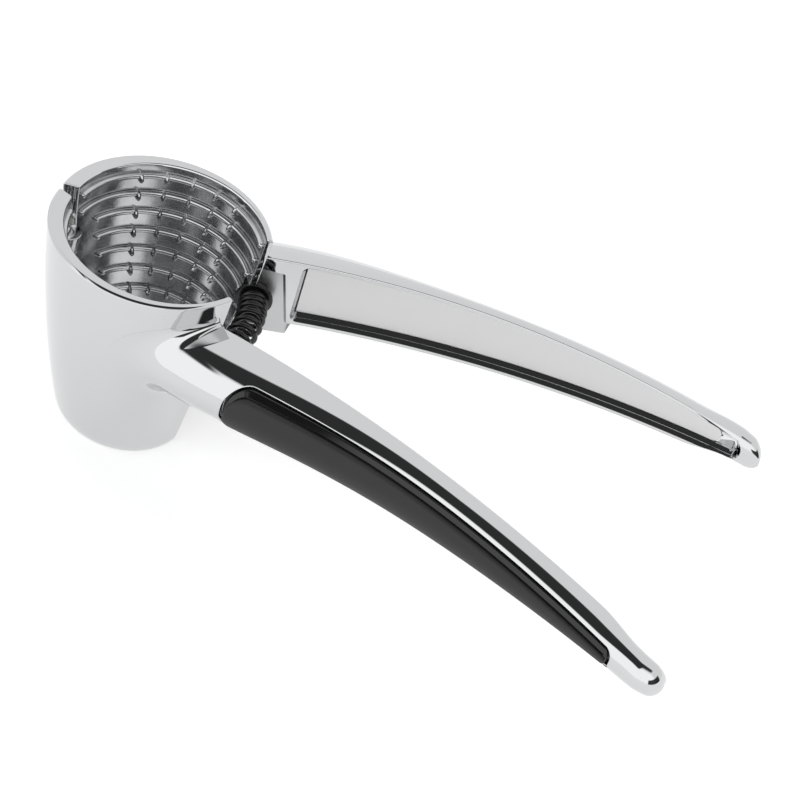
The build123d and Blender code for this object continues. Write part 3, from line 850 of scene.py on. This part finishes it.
def grip_outline(inlay, step=0.0, top_step=0.0):
    """Outline of the grip pocket, or one that is smaller by a step, and by another step at the top."""
    return (
        from_end(inlay.grip_start) + step,
        from_end(inlay.grip_end) - step,
        (inlay.grip_top_edge + top_step, inlay.grip_bottom_edge + step),
        (inlay.grip_start_rounding - step, inlay.grip_end_rounding - step),
    )


def grip_cutter(handle, inlay):
    """Grip pocket with a rounded lip."""
    rows = [(0, inlay.pocket_depth), *in_metres(POCKET_LIP)]
    return inlay_surface(handle, outer_face, grip_outline(inlay), rows)


def carrier_surface(handle, inlay):
    """Gloss carrier: a flange on the pocket's floor, a wall with a rounded edge, and a rim round the pad."""
    depth = inlay.pocket_depth
    rows = [
        (CARRIER_RIM[0][0] * MM, depth - inlay.clearance),
        *in_metres(CARRIER_RIM),
        (CARRIER_RIM[-1][0] * MM + inlay.clearance / 2, depth - inlay.carrier_thickness),
    ]
    return inlay_surface(handle, outer_face, grip_outline(inlay), rows)


def pad_surface(handle, inlay):
    """Soft pad: it stands in the carrier, proud of the handle, with a rounded upper edge."""
    r, bottom = inlay.pad_rounding, inlay.pocket_depth - inlay.carrier_thickness - inlay.clearance
    edge = [(r * (1 - np.cos(a)), -inlay.pad_proud + r * (1 - np.sin(a))) for a in quarter(7)]
    outline = grip_outline(inlay, inlay.pad_side_step, inlay.pad_top_step)
    return inlay_surface(handle, outer_face, outline, [(0, bottom), *edge])


def recess_cutter(handle, inlay):
    """Recess of the inner face: a floor, and a sloped wall with a small step half-way up."""
    floor, wide = inlay.recess_depth - inlay.plate_thickness, inlay.trough_width
    middle, step, past = floor / 2, inlay.trough_step / 2, inlay.trough_past
    rows = [
        (0, inlay.recess_depth),
        (0, floor),
        (-wide / 2, middle + step),
        (-wide / 2, middle - step),
        (-wide, 0),
        (-wide * past, middle * (2 - 2 * past)),
        (-wide * past, -inlay.recess_depth),
    ]
    outline = (
        from_end(inlay.recess_start),
        from_end(inlay.recess_end),
        (inlay.recess_top_flange + wide, inlay.recess_flange + wide),
        (inlay.recess_corner, inlay.recess_end_rounding),
    )
    end_shares = (inlay.recess_near_share, inlay.recess_far_share)
    return inlay_surface(handle, inner_face, outline, rows, end_shares, lambda x, s: tip_hollow(inlay, x, s))


def plate_surface(handle, inlay):
    """Satin plate on the floor of the recess, with a softened edge."""
    clear, wide = inlay.clearance, inlay.trough_width
    top = inlay.recess_depth - inlay.plate_thickness
    outline = (
        from_end(inlay.recess_start) + clear,
        from_end(inlay.plate_end),
        (inlay.recess_top_flange + wide + clear, inlay.recess_flange + wide + clear),
        (inlay.recess_corner, inlay.plate_end_rounding),
    )
    rows = [(0, inlay.recess_depth - clear), *in_metres(PLATE_EDGE, top)]
    return inlay_surface(handle, inner_face, outline, rows)


def in_metres(profile, top=0.0):
    """Rows of a small profile given in millimetres, at a depth below the face."""
    return [(inset * MM, top + depth * MM) for inset, depth in profile]


def tip_hollow(inlay, x, share):
    """Extra depth of the recess floor past the plate: a parabola across it, which starts over a short run."""
    rise = smooth_step((x - from_end(inlay.plate_end)) / inlay.hollow_run + 1)
    return inlay.hollow_depth * rise * (1 - share**2)


def seat_cutter(handle, seat):
    """Block with a leaning, sloped end, bent along the inner face, that cuts the spring seat out."""
    u = np.linspace(-seat.cut_length, 0, 60)
    corners = np.array([(-1, 0), (1, 0), (1, 1), (-1, 1)], float)
    share = np.linspace(0, 1, 12)[:-1, None]
    ring = np.concatenate([a + (b - a) * share for a, b in zip(corners, np.roll(corners, -1, axis=0))])
    z = (seat.cut_bottom + (seat.roof - seat.cut_bottom) * ring[:, 1])[None, :]
    back = ring[None, :, 0] * seat.depth
    x = from_end(seat.edge) - (z - seat.height) * np.tan(seat.lean) - back * np.tan(seat.slope) + u[:, None]
    y = inner_face(handle, x, z, 0) + back
    return capped(np.stack((x, y, z * np.ones_like(x)), axis=-1))


def pocket_cutter(handle, seat):
    """Cylinder round the spring's axis that clears the spring cup."""
    radius, reach = seat.washer_radius + seat.pocket_clearance, seat.pocket_length
    return rod(seat_axes(handle, seat), radius, 0.0, reach)


def web_surface(handle, seat):
    """Web below the handle root that carries the seat face from the cup wall to the step.

    Its section, an upright slab with a rounded lower edge, is carried along the seat. Past the foot of the
    step the slab climbs with the slope of the step to the inner face, and its lower edge to the handle's.
    """
    run_out = seat.depth * np.tan(seat.slope)
    ridge = from_end(seat.edge) + (seat.height - seat.web_high) * np.tan(seat.lean)
    start, foot = from_end(seat.web_start), ridge - run_out
    x = np.concatenate((np.linspace(start, foot, 40), np.linspace(foot, ridge, 9)[1:]))[:, None]
    climb = np.clip((x - foot) / run_out, 0, 1)
    _, _, bottom, _ = handle_lines(handle, x)
    low = seat.web_low + (seat.web_high - seat.web_low) * (x - start) / (foot - start)
    low = np.where(climb > 0, seat.web_high + (bottom + 10 * SUNK - seat.web_high) * climb, low)

    half, turn = seat.web_thickness / 2, np.linspace(0, np.pi, 12)[None, :]
    across = np.concatenate((half * (1 - np.cos(turn)), [[2 * half + seat.web_spread, 0]]), axis=1)
    up = np.concatenate((half * seat.web_edge_share * (1 - np.sin(turn)), [[1, 1]]), axis=1)
    z = np.where(up == 1, seat.web_top, low + up)
    y = inner_face(handle, x, z, 0) + seat.depth * (1 - climb) + SUNK + across
    return capped(np.stack((x * np.ones_like(z), y, z), axis=-1))


def seat_axes(handle, seat):
    """Where the spring bears on the rear seat, the direction along it, and two directions across it."""
    x = np.array(from_end(seat.from_end))
    step = 1 * MM
    rise = (handle_lines(handle, x + step)[0] - handle_lines(handle, x - step)[0]) / (2 * step)
    origin = np.array((x, handle_lines(handle, x)[0] + seat.depth, seat.height))
    along = np.array((rise, -1, 0)) / np.hypot(1, rise)
    return origin, along, np.array((0.0, 0.0, 1.0)), np.cross(along, (0.0, 0.0, 1.0))


def turned(axes, profile, steps=64):
    """Surface of revolution round the first of three axes: profile points are (radius, distance along it)."""
    origin, along, up, side = axes
    turn = np.linspace(0, 2 * np.pi, steps + 1)[None, :-1, None]
    radius, distance = (np.array(column)[:, None, None] for column in zip(*profile))
    return origin + along * distance + radius * (up * np.cos(turn) + side * np.sin(turn))


def rod(axes, radius, low, high):
    """Closed cylinder round the first of three axes."""
    return grid(turned(axes, [(0.0, low), (radius, low), (radius, high), (0.0, high)]), close_columns=True)


def ring(axes, corners, rounding):
    """Ring round the first of three axes, with rounded edges."""
    return grid(turned(axes, soft_corners(corners, rounding)), close_rows=True, close_columns=True)


def bend(start, corner, end, steps):
    """Points of the parabolas from each start to its end, with its corner as the control point."""
    share = np.linspace(0, 1, steps)[None, :, None]
    start, corner, end = start[:, None], corner[:, None], end[:, None]
    return (1 - share) ** 2 * start + 2 * share * (1 - share) * corner + share**2 * end


def soft_corners(corners, rounding):
    """Closed outline through corner points, each drawn as a parabola that starts a rounding away."""
    corner = np.array(corners)
    before, after = np.roll(corner, 1, axis=0) - corner, np.roll(corner, -1, axis=0) - corner
    start, end = corner + unit(before) * rounding, corner + unit(after) * rounding
    return bend(start, corner, end, 5).reshape(-1, 2)


def blend_strip(cup, handle):
    """Fillet between the cup wall and the handle root.

    For each angle round the handle's outer face, the crease is where that line of the handle meets the cup
    wall. The strip is a parabola from the handle to the wall with the crease as its control point, closed
    behind by the crease itself.
    """
    theta = np.linspace(-np.pi / 2, np.pi / 2, 120)

    def on_handle(x):
        inner, top, bottom, thickness = handle_lines(handle, x)
        height = (top + bottom) / 2 + (top - bottom) / 2 * np.sin(theta)
        return np.stack((x, inner + thickness * np.cos(theta), height), -1)

    meeting = meeting_x(cup, on_handle, len(theta), 0)
    crease = on_handle(meeting)
    reach = handle.fillet_reach + handle.fillet_side_reach * np.cos(theta) ** 2
    on_root = on_handle(meeting + reach)
    _, centre_x, centre_y = cup_outside(cup, crease[:, 2])
    normal = unit(np.stack((crease[:, 0] - centre_x, crease[:, 1] - centre_y, 0 * theta), -1))
    away = square_to(normal, np.stack((0 * theta, np.cos(theta), np.sin(theta)), -1))
    on_wall = crease + away * reach[:, None]
    radius, centre_x, centre_y = cup_outside(cup, on_wall[:, 2])
    dx, dy = on_wall[:, 0] - centre_x, on_wall[:, 1] - centre_y
    stretch = (radius + SUNK / 2) / np.hypot(dx, dy)
    on_wall = np.stack((centre_x + dx * stretch, centre_y + dy * stretch, on_wall[:, 2]), -1)
    return capped(np.concatenate((bend(on_root, crease, on_wall, 16), crease[:, None]), axis=1))


def knuckle_ends(hinge, index):
    """Lower and upper end of a knuckle, above the lower end of the pin."""
    length = pin_high[2] - pin_low[2] + 2 * hinge.pin_inset
    pitch = length / hinge.knuckles
    low = pitch * index - hinge.pin_inset
    return low + hinge.knuckle_gap / 2, low + pitch - hinge.knuckle_gap / 2


def knuckle(hinge, index):
    """Knuckle: a ring with rounded edges turned round the pin."""
    low, high = knuckle_ends(hinge, index)
    inner, outer = hinge.bore_radius, hinge.knuckle_radius
    return ring(pin_axes(), [(inner, low), (outer, low), (outer, high), (inner, high)], hinge.rounding)


def knuckle_relief(hinge, index):
    """Cylinder that clears the other arm round a knuckle."""
    low, high = knuckle_ends(hinge, index)
    past = hinge.relief / 2
    return rod(pin_axes(), hinge.knuckle_radius + hinge.relief, low - past, high + past)


def pin_axes():
    """Axes of the hinge pin, for surfaces of revolution that start at its lower end."""
    return (
        np.array((pin_x, 0.0, pin_low[2])),
        np.array((0.0, 0.0, 1.0)),
        np.array((1.0, 0.0, 0.0)),
        np.array((0.0, 1.0, 0.0)),
    )


def washer_surface(handle, seat):
    """Spring cup: a flanged sleeve turned round the spring's axis, with the flange towards the spring."""
    bore, sleeve, flange = seat.washer_bore, seat.sleeve_radius, seat.washer_radius
    back, shoulder = seat.gap, seat.gap + seat.sleeve_length
    face = shoulder + seat.washer_thickness
    outer = [(sleeve, back), (sleeve, shoulder), (flange, shoulder), (flange, face)]
    return ring(seat_axes(handle, seat), [(bore, back), *outer, (bore, face)], seat.washer_rounding)


def spring_surface(handle, seat):
    """Spring: a round section carried along a coil, round an arc that leaves both seats squarely.

    The arc bows out, and the coil is closer at both ends: after a share t of its turns it is at the share
    t - closing * sin(2 pi t) / (2 pi) of the arc.
    """
    (x, y, _), along, _, _ = seat_axes(handle, seat)
    set_back = seat.gap * 2 + seat.sleeve_length + seat.washer_thickness + seat.wire_radius
    x, y = x + along[0] * set_back, y + along[1] * set_back
    centre_x = x + y * along[1] / along[0]
    arc_radius, half_angle = np.hypot(x - centre_x, y), np.arctan2(y, x - centre_x)
    share = np.linspace(0, 1, seat.turns * 40 + 1)
    coil = 2 * np.pi * seat.turns * share
    closed = share - seat.closing / (2 * np.pi) * np.sin(2 * np.pi * share)
    phi = half_angle * (1 - 2 * closed)
    wire = seat.coil_radius - seat.wire_radius
    out = arc_radius + seat.bow * np.sin(np.pi * closed) + wire * np.cos(coil)
    line = np.stack((centre_x + out * np.cos(phi), out * np.sin(phi), seat.height + wire * np.sin(coil)), -1)
    tangent = unit(np.gradient(line, axis=0))
    radial = np.stack((np.cos(coil) * np.cos(phi), np.cos(coil) * np.sin(phi), np.sin(coil)), -1)
    radial = square_to(tangent, radial)
    side = np.cross(tangent, radial)
    turn = np.linspace(0, 2 * np.pi, 17)[None, :-1, None]
    section = radial[:, None] * np.cos(turn) + side[:, None] * np.sin(turn)
    return capped(line[:, None] + seat.wire_radius * section)


# Materials


def add_node(tree, kind, settings=None, inputs=None):
    """Add a node, set its properties, and give its inputs values or links from sockets of other nodes."""
    node = tree.nodes.new(kind)
    for name, value in (settings or {}).items():
        setattr(node, name, value)
    for name, value in (inputs or {}).items():
        if isinstance(value, bpy.types.NodeSocket):
            tree.links.new(value, node.inputs[name])
        else:
            node.inputs[name].default_value = value
    return node


def empty_tree(owner):
    """Node tree of a material or world, with nothing in it."""
    owner.use_nodes = True
    owner.node_tree.nodes.clear()
    return owner.node_tree


def new_material(name, base_colour=(1.0, 1.0, 1.0, 1.0), metallic=0.0, roughness=0.5):
    """Principled material with uniform values, as (material, tree, shader, object coordinates)."""
    material = bpy.data.materials.new(name)
    tree = empty_tree(material)
    values = {"Base Color": base_colour, "Metallic": metallic, "Roughness": roughness}
    shader = add_node(tree, "ShaderNodeBsdfPrincipled", inputs=values)
    add_node(tree, "ShaderNodeOutputMaterial", inputs={"Surface": shader.outputs["BSDF"]})
    return material, tree, shader, add_node(tree, "ShaderNodeTexCoord").outputs["Object"]


def add_grain(surface, scale, height, strength, detail=2.0, gloss=None, reach=(0.0, 1.0)):
    """Grains of about a metre divided by the scale, that stand out of a new material's surface by a height.

    With a gloss of two roughnesses, it runs from one to the other as the noise runs over its reach.
    """
    _, tree, shader, place = surface
    values = {"Vector": place, "Scale": scale, "Detail": detail}
    noise = add_node(tree, "ShaderNodeTexNoise", inputs=values).outputs["Fac"]
    values = {"Height": noise, "Strength": strength, "Distance": height}
    bump = add_node(tree, "ShaderNodeBump", inputs=values)
    tree.links.new(bump.outputs["Normal"], shader.inputs["Normal"])
    if gloss:
        (low, high), (start, end) = reach, gloss
        values = {"Value": noise, "From Min": low, "From Max": high, "To Min": start, "To Max": end}
        roughness = add_node(tree, "ShaderNodeMapRange", inputs=values)
        tree.links.new(roughness.outputs["Result"], shader.inputs["Roughness"])


def chrome_plate(colours):
    """Bright chrome on a polished zinc casting: a neutral mirror, with the slow waves of polishing."""
    surface = new_material("polished_chrome_plate", colours.chrome, metallic=1.0, roughness=0.045)
    # Waves about 14 mm long and a few microns high.
    add_grain(surface, 70.0, 0.04 * MM, strength=0.25, detail=1.0)
    return surface[0]


def satin_chrome(colours):
    """Satin chrome of the spring seats: the plate over a blasted casting skin."""
    surface = new_material("satin_chrome_plate", colours.seat, metallic=1.0, roughness=0.42)
    # Blasted grain of about 0.4 mm.
    add_grain(surface, 2500.0, 0.02 * MM, strength=0.3)
    return surface[0]


def cast_chrome(colours):
    """Chrome over the unpolished cast funnel: satin and darker, mottled by the casting skin."""
    surface = new_material("chrome_on_cast_zinc", metallic=1.0)
    material, tree, shader, place = surface
    # Casting skin with grains of about 1.5 mm, and clouds of about 8 mm.
    add_grain(surface, 650.0, 0.05 * MM, strength=0.2, detail=3.0, gloss=(0.14, 0.2), reach=(0.3, 0.7))
    values = {"Vector": place, "Scale": 125.0, "Detail": 2.0}
    clouds = add_node(tree, "ShaderNodeTexNoise", inputs=values)
    tint = add_node(tree, "ShaderNodeValToRGB", inputs={"Fac": clouds.outputs["Fac"]})
    stops = (0.3, colours.cast_dark), (0.75, colours.cast_light)
    for element, (position, value) in zip(tint.color_ramp.elements, stops):
        element.position, element.color = position, value
    tree.links.new(tint.outputs["Color"], shader.inputs["Base Color"])
    return material


def satin_plate(colours):
    """Satin aluminium plate: fine blasted grain that blurs reflections."""
    surface = new_material("satin_aluminium", colours.plate, metallic=1.0)
    # Blasted grain of about 0.3 mm, 10 microns high.
    add_grain(surface, 3300.0, 0.01 * MM, strength=0.3, gloss=(0.32, 0.4))
    return surface[0]


def ground_steel(colours):
    """Ground steel of the pin: fine rings round its axis, half gloss."""
    material, tree, shader, place = new_material("ground_steel", colours.pin, metallic=1.0)
    # Grinding rings about 0.2 mm apart.
    values = {"Vector": place, "Scale": 1600.0, "Distortion": 2.0}
    rings = add_node(tree, "ShaderNodeTexWave", {"bands_direction": "Z"}, values)
    values = {"Value": rings.outputs["Fac"], "To Min": 0.22, "To Max": 0.34}
    gloss = add_node(tree, "ShaderNodeMapRange", inputs=values)
    tree.links.new(gloss.outputs["Result"], shader.inputs["Roughness"])
    return material


def skin(name, base_colour, roughness, grain, height):
    """Dielectric with a moulded skin: grains of a length and a height, and a little change of gloss."""
    surface = new_material(name, base_colour)
    add_grain(surface, 1 / grain, height, strength=0.4, gloss=(roughness * 0.8, roughness * 1.2))
    return surface[0]


def blackened_steel(colours):
    """Blackened spring steel: oiled, with drawing marks of about 0.4 mm."""
    return skin("blackened_spring_steel", colours.spring, 0.2, 0.4 * MM, 0.004 * MM)


def black_nylon(colours):
    """Black nylon of the spring cups: half gloss, moulded skin of about 0.5 mm."""
    return skin("black_nylon", colours.washer, 0.28, 0.5 * MM, 0.005 * MM)


def gloss_abs(colours):
    """Gloss black ABS of the grip carriers: nearly flat, with moulding waves of about 4 mm."""
    return skin("gloss_black_abs", colours.carrier, 0.1, 4 * MM, 0.01 * MM)


def soft_elastomer(colours):
    """Soft black elastomer of the grip pads: matt, with a spark-eroded grain of about 0.25 mm."""
    return skin("soft_black_elastomer", colours.pad, 0.58, 0.25 * MM, 0.02 * MM)


# Stage


def floor_paper(colours, stage):
    """White seamless paper: matt, takes the object's shadow, and is lifted to white where it is seen."""
    material = bpy.data.materials.new("seamless_paper")
    tree = empty_tree(material)
    path = add_node(tree, "ShaderNodeLightPath").outputs
    either, times = {"operation": "MAXIMUM"}, {"operation": "MULTIPLY"}
    values = {0: path["Is Glossy Ray"], 1: path["Is Transmission Ray"]}
    mirrored = add_node(tree, "ShaderNodeMath", either, values)
    seen = add_node(tree, "ShaderNodeMath", either, {0: path["Is Camera Ray"], 1: mirrored.outputs["Value"]})
    lift = add_node(tree, "ShaderNodeMath", times, {0: seen.outputs["Value"], 1: stage.lift})
    paper = add_node(tree, "ShaderNodeBsdfDiffuse", inputs={"Color": colours.paper})
    glow = add_node(tree, "ShaderNodeEmission", inputs={"Strength": lift.outputs["Value"]})
    sources = {0: paper.outputs["BSDF"], 1: glow.outputs["Emission"]}
    both = add_node(tree, "ShaderNodeAddShader", inputs=sources)
    add_node(tree, "ShaderNodeOutputMaterial", inputs={"Surface": both.outputs["Shader"]})
    return material


def studio_light(stage):
    """Light tent as a world: white all round and brightest low in front, with three dark parts.

    A gap overhead and in front, above about 53 degrees, a low panel on the right and a high one on the left
    draw the dark bands and lines along the polished metal.
    """
    world = bpy.data.worlds.new("light_tent")
    tree = empty_tree(world)
    place = add_node(tree, "ShaderNodeTexCoord").outputs["Generated"]
    axes = add_node(tree, "ShaderNodeSeparateXYZ", inputs={"Vector": place}).outputs
    right, back, up = axes["X"], axes["Y"], axes["Z"]

    def chain(operation, *sockets):
        """Several sockets, or numbers, brought together by one operation, from the first to the last."""
        result = sockets[0]
        for socket in sockets[1:]:
            values = {0: result, 1: socket}
            result = add_node(tree, "ShaderNodeMath", {"operation": operation}, values).outputs["Value"]
        return result

    def part(*steps):
        """Product of smooth steps: each is a socket, its low and its high end, and the values at them."""
        results = []
        for socket, low, high, start, end in steps:
            values = {"Value": socket, "From Min": low, "From Max": high, "To Min": start, "To Max": end}
            step = add_node(tree, "ShaderNodeMapRange", {"interpolation_type": "SMOOTHSTEP"}, values)
            results.append(step.outputs["Result"])
        return chain("MULTIPLY", *results)

    sideways = add_node(tree, "ShaderNodeMath", {"operation": "ABSOLUTE"}, {0: right}).outputs["Value"]
    ahead = chain("SUBTRACT", back, chain("MULTIPLY", sideways, 0.4))
    gap = part((up, 0.78, 0.82, 0, 1), (ahead, -0.02, -0.1, 0, 1))
    right_panel = part((right, 0.55, 0.62, 0, 1), (back, 0.3, 0.22, 0, 1), (up, 0.42, 0.36, 0, 1))
    left_panel = part((right, -0.5, -0.57, 0, 1), (back, 0.5, 0.42, 0, 1), (up, 0.71, 0.77, 0, 1))
    dark = chain("MAXIMUM", right_panel, left_panel, gap)
    front = part((back, -0.1, -0.35, 0, 1), (up, 0.8, 0.75, 0, 1))
    level = part((front, 0, 1, stage.tent_level, stage.front_level), (dark, 0, 1, 1, stage.dark_share))
    values = {"Color": srgb_to_linear("#FFFFFF"), "Strength": level}
    sky = add_node(tree, "ShaderNodeBackground", inputs=values)
    add_node(tree, "ShaderNodeOutputWorld", inputs={"Surface": sky.outputs["Background"]})
    return world


def add_camera(scene, stage):
    """Camera above and in front, turned about its own axis, with a long lens."""
    azimuth, elevation, roll = stage.azimuth, stage.elevation, stage.roll
    forward = np.array(
        (-np.cos(elevation) * np.sin(azimuth), np.cos(elevation) * np.cos(azimuth), -np.sin(elevation))
    )
    level = np.array((np.cos(azimuth), np.sin(azimuth), 0))
    upright = np.cross(level, forward)
    right = np.cos(roll) * level + np.sin(roll) * upright
    up = np.cos(roll) * upright - np.sin(roll) * level
    place = np.array((stage.aim_x, stage.aim_y, stage.aim_z)) - stage.distance * forward
    camera = bpy.data.cameras.new("camera")
    camera.lens, camera.sensor_width = stage.lens, stage.sensor
    axes = Matrix(np.column_stack((right, up, -forward)).tolist()).to_4x4()
    camera_object = bpy.data.objects.new("camera", camera)
    camera_object.matrix_world = Matrix.Translation(place.tolist()) @ axes
    scene.collection.objects.link(camera_object)
    scene.camera = camera_object


# Operators


def mark_finishes(mesh, cup, handle, seat, side):
    """Give the funnel, its ribs and its teeth the casting's second material, and the seat its third."""
    centres, normals = (np.empty(len(mesh.polygons) * 3, np.float32) for _ in range(2))
    mesh.polygons.foreach_get("center", centres)
    mesh.polygons.foreach_get("normal", normals)
    mirror = 1 if side == "rear" else -1
    x, y, z = centres.reshape(-1, 3).T
    y, facing = mirror * y, -mirror * normals.reshape(-1, 3)[:, 1]
    radius, centre_x, centre_y = cup_funnel(cup, z)
    in_funnel = np.hypot(x - centre_x, y - centre_y) < radius + NEAR / 2
    in_funnel &= z < cup.depth - cup.mouth_rounding - 2 * NEAR
    behind = y - inner_face(handle, x, z, 0)
    on_seat = (behind > NEAR / 2) & (behind < seat.depth + 10 * NEAR) & (facing > 0.5) & (z < seat.roof)
    on_seat &= x < from_end(seat.edge) - (z - seat.height) * np.tan(seat.lean) + NEAR
    on_seat &= above_wall(cup, np.stack((x, y, z), axis=-1)) > NEAR
    mesh.polygons.foreach_set("material_index", np.where(on_seat, 2, in_funnel).astype(np.int32))


class NUTCRACKER_OT_jaws(bpy.types.Operator):
    """Both castings: half cup, ribs, teeth, handle, spring seat and hinge knuckles"""

    bl_idname = "nutcracker.jaws"
    bl_label = "Jaws and handles"

    def execute(self, context):
        scene = context.scene
        cup, ribs, handle = scene.nutcracker_cup, scene.nutcracker_ribs, scene.nutcracker_handle
        seat, inlay, hinge = scene.nutcracker_seat, scene.nutcracker_inlay, scene.nutcracker_hinge
        finishes = [finish(scene.nutcracker_colours) for finish in (chrome_plate, cast_chrome, satin_chrome)]

        seat_cut = make_mesh("seat", seat_cutter(handle, seat))
        recess = make_mesh("recess", recess_cutter(handle, inlay))
        grip_pocket = make_mesh("grip", grip_cutter(handle, inlay))
        lever = carved(make_mesh("lever", handle_surface(cup, handle)), seat_cut, recess, grip_pocket)
        web = make_mesh("web", web_surface(handle, seat))
        fillet = carved(make_mesh("fillet", blend_strip(cup, handle)), seat_cut)
        details = make_mesh("details", *rib_surfaces(cup, ribs), *tooth_surfaces(cup, ribs))
        half_cup = make_mesh("half_cup", cup_surface(cup))
        pocket = make_mesh("pocket", pocket_cutter(handle, seat))

        for first, (side, body) in enumerate(arms.items()):
            own, others = range(first, hinge.knuckles, 2), range(1 - first, hinge.knuckles, 2)
            relief = make_mesh("relief", *(knuckle_relief(hinge, index) for index in others))
            shell = carved(on_side(half_cup, side, "half_cup"), on_side(pocket, side, "pocket"), relief)
            rest = [on_side(mesh, side, "rest") for mesh in (lever, web, fillet, details)]
            knuckles = make_mesh("knuckles", *(knuckle(hinge, index) for index in own))
            mesh = joined(f"{side}_casting", [shell, *rest, knuckles])
            sharpen(mesh)
            for finish in finishes:
                mesh.materials.append(finish)
            mark_finishes(mesh, cup, handle, seat, side)
            finish_piece(add_object(mesh.name, mesh), body, f"{side}_jaw_arm")
        return {"FINISHED"}


class NUTCRACKER_OT_hinge(bpy.types.Operator):
    """Finish of the hinge pin"""

    bl_idname = "nutcracker.hinge"
    bl_label = "Hinge pin"

    def execute(self, context):
        pin = frame["nodes"]["hinge_pin"]
        pin.data.materials.clear()
        pin.data.materials.append(ground_steel(context.scene.nutcracker_colours))
        return {"FINISHED"}


class NUTCRACKER_OT_spring(bpy.types.Operator):
    """Return spring and its two flanged cups"""

    bl_idname = "nutcracker.spring"
    bl_label = "Spring and its cups"

    def execute(self, context):
        scene = context.scene
        handle, seat, colours = scene.nutcracker_handle, scene.nutcracker_seat, scene.nutcracker_colours
        spring = add_object("coil_spring", make_mesh("coil_spring", spring_surface(handle, seat)))
        spring.data.materials.append(blackened_steel(colours))
        (x, y, z), _, _, _ = seat_axes(handle, seat)
        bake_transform(spring)
        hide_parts("return_spring")

        washer = washer_surface(handle, seat)
        add_pair("washer", washer, black_nylon(colours), "spring_washer")
        return {"FINISHED"}


class NUTCRACKER_OT_grips(bpy.types.Operator):
    """Gloss carriers and soft pads of the grips"""

    bl_idname = "nutcracker.grips"
    bl_label = "Grips"

    def execute(self, context):
        scene = context.scene
        handle, inlay, colours = scene.nutcracker_handle, scene.nutcracker_inlay, scene.nutcracker_colours
        carrier, pad = carrier_surface(handle, inlay), pad_surface(handle, inlay)
        add_pair("carrier", carrier, gloss_abs(colours), "grip_carrier")
        add_pair("pad", pad, soft_elastomer(colours), "grip_pad", degrees=50)
        return {"FINISHED"}


class NUTCRACKER_OT_plates(bpy.types.Operator):
    """Satin plates in the recesses of the inner faces"""

    bl_idname = "nutcracker.plates"
    bl_label = "Inner plates"

    def execute(self, context):
        scene = context.scene
        plate = plate_surface(scene.nutcracker_handle, scene.nutcracker_inlay)
        add_pair("plate", plate, satin_plate(scene.nutcracker_colours), "inner_plate")
        return {"FINISHED"}


class NUTCRACKER_OT_stage(bpy.types.Operator):
    """Floor, studio light and the camera"""

    bl_idname = "nutcracker.stage"
    bl_label = "Stage"

    def execute(self, context):
        scene = context.scene
        stage = scene.nutcracker_stage
        mesh = bpy.data.meshes.new("floor")
        reach = stage.floor_reach
        corners = [(-reach, -reach, 0), (reach, -reach, 0), (reach, reach, 0), (-reach, reach, 0)]
        mesh.from_pydata(corners, [], [(0, 1, 2, 3)])
        mesh.materials.append(floor_paper(scene.nutcracker_colours, stage))
        add_object("floor", mesh)
        scene.world = studio_light(stage)
        add_camera(scene, stage)
        scene.view_settings.view_transform = "Standard"
        return {"FINISHED"}


class NUTCRACKER_PT_panel(bpy.types.Panel):
    """Sidebar panel with the nutcracker's sizes and operators"""

    bl_idname = "NUTCRACKER_PT_panel"
    bl_label = "Nutcracker"
    bl_space_type = "VIEW_3D"
    bl_region_type = "UI"
    bl_category = "Nutcracker"

    def draw(self, context):
        for name, group in size_groups.items():
            box = self.layout.box()
            for prop in group.__annotations__:
                box.prop(getattr(context.scene, name), prop)
        for operator in operators:
            self.layout.operator(operator.bl_idname)


size_groups = {
    "nutcracker_cup": CupSizes,
    "nutcracker_ribs": RibSizes,
    "nutcracker_hinge": HingeSizes,
    "nutcracker_handle": HandleSizes,
    "nutcracker_seat": SeatSizes,
    "nutcracker_inlay": InlaySizes,
    "nutcracker_stage": StageSizes,
    "nutcracker_colours": FinishColours,
}
operators = (
    NUTCRACKER_OT_jaws,
    NUTCRACKER_OT_hinge,
    NUTCRACKER_OT_spring,
    NUTCRACKER_OT_grips,
    NUTCRACKER_OT_plates,
    NUTCRACKER_OT_stage,
)


def register():
    for group in (*size_groups.values(), *operators, NUTCRACKER_PT_panel):
        bpy.utils.register_class(group)
    for name, group in size_groups.items():
        setattr(bpy.types.Scene, name, bpy.props.PointerProperty(type=group))


def unregister():
    for name in size_groups:
        delattr(bpy.types.Scene, name)
    for group in (NUTCRACKER_PT_panel, *operators[::-1], *size_groups.values()):
        bpy.utils.unregister_class(group)


def main():
    """Register the add-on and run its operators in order."""
    register()
    bpy.ops.nutcracker.jaws()
    bpy.ops.nutcracker.hinge()
    bpy.ops.nutcracker.spring()
    bpy.ops.nutcracker.grips()
    bpy.ops.nutcracker.plates()
    bpy.ops.nutcracker.stage()


if __name__ == "__main__":
    main()
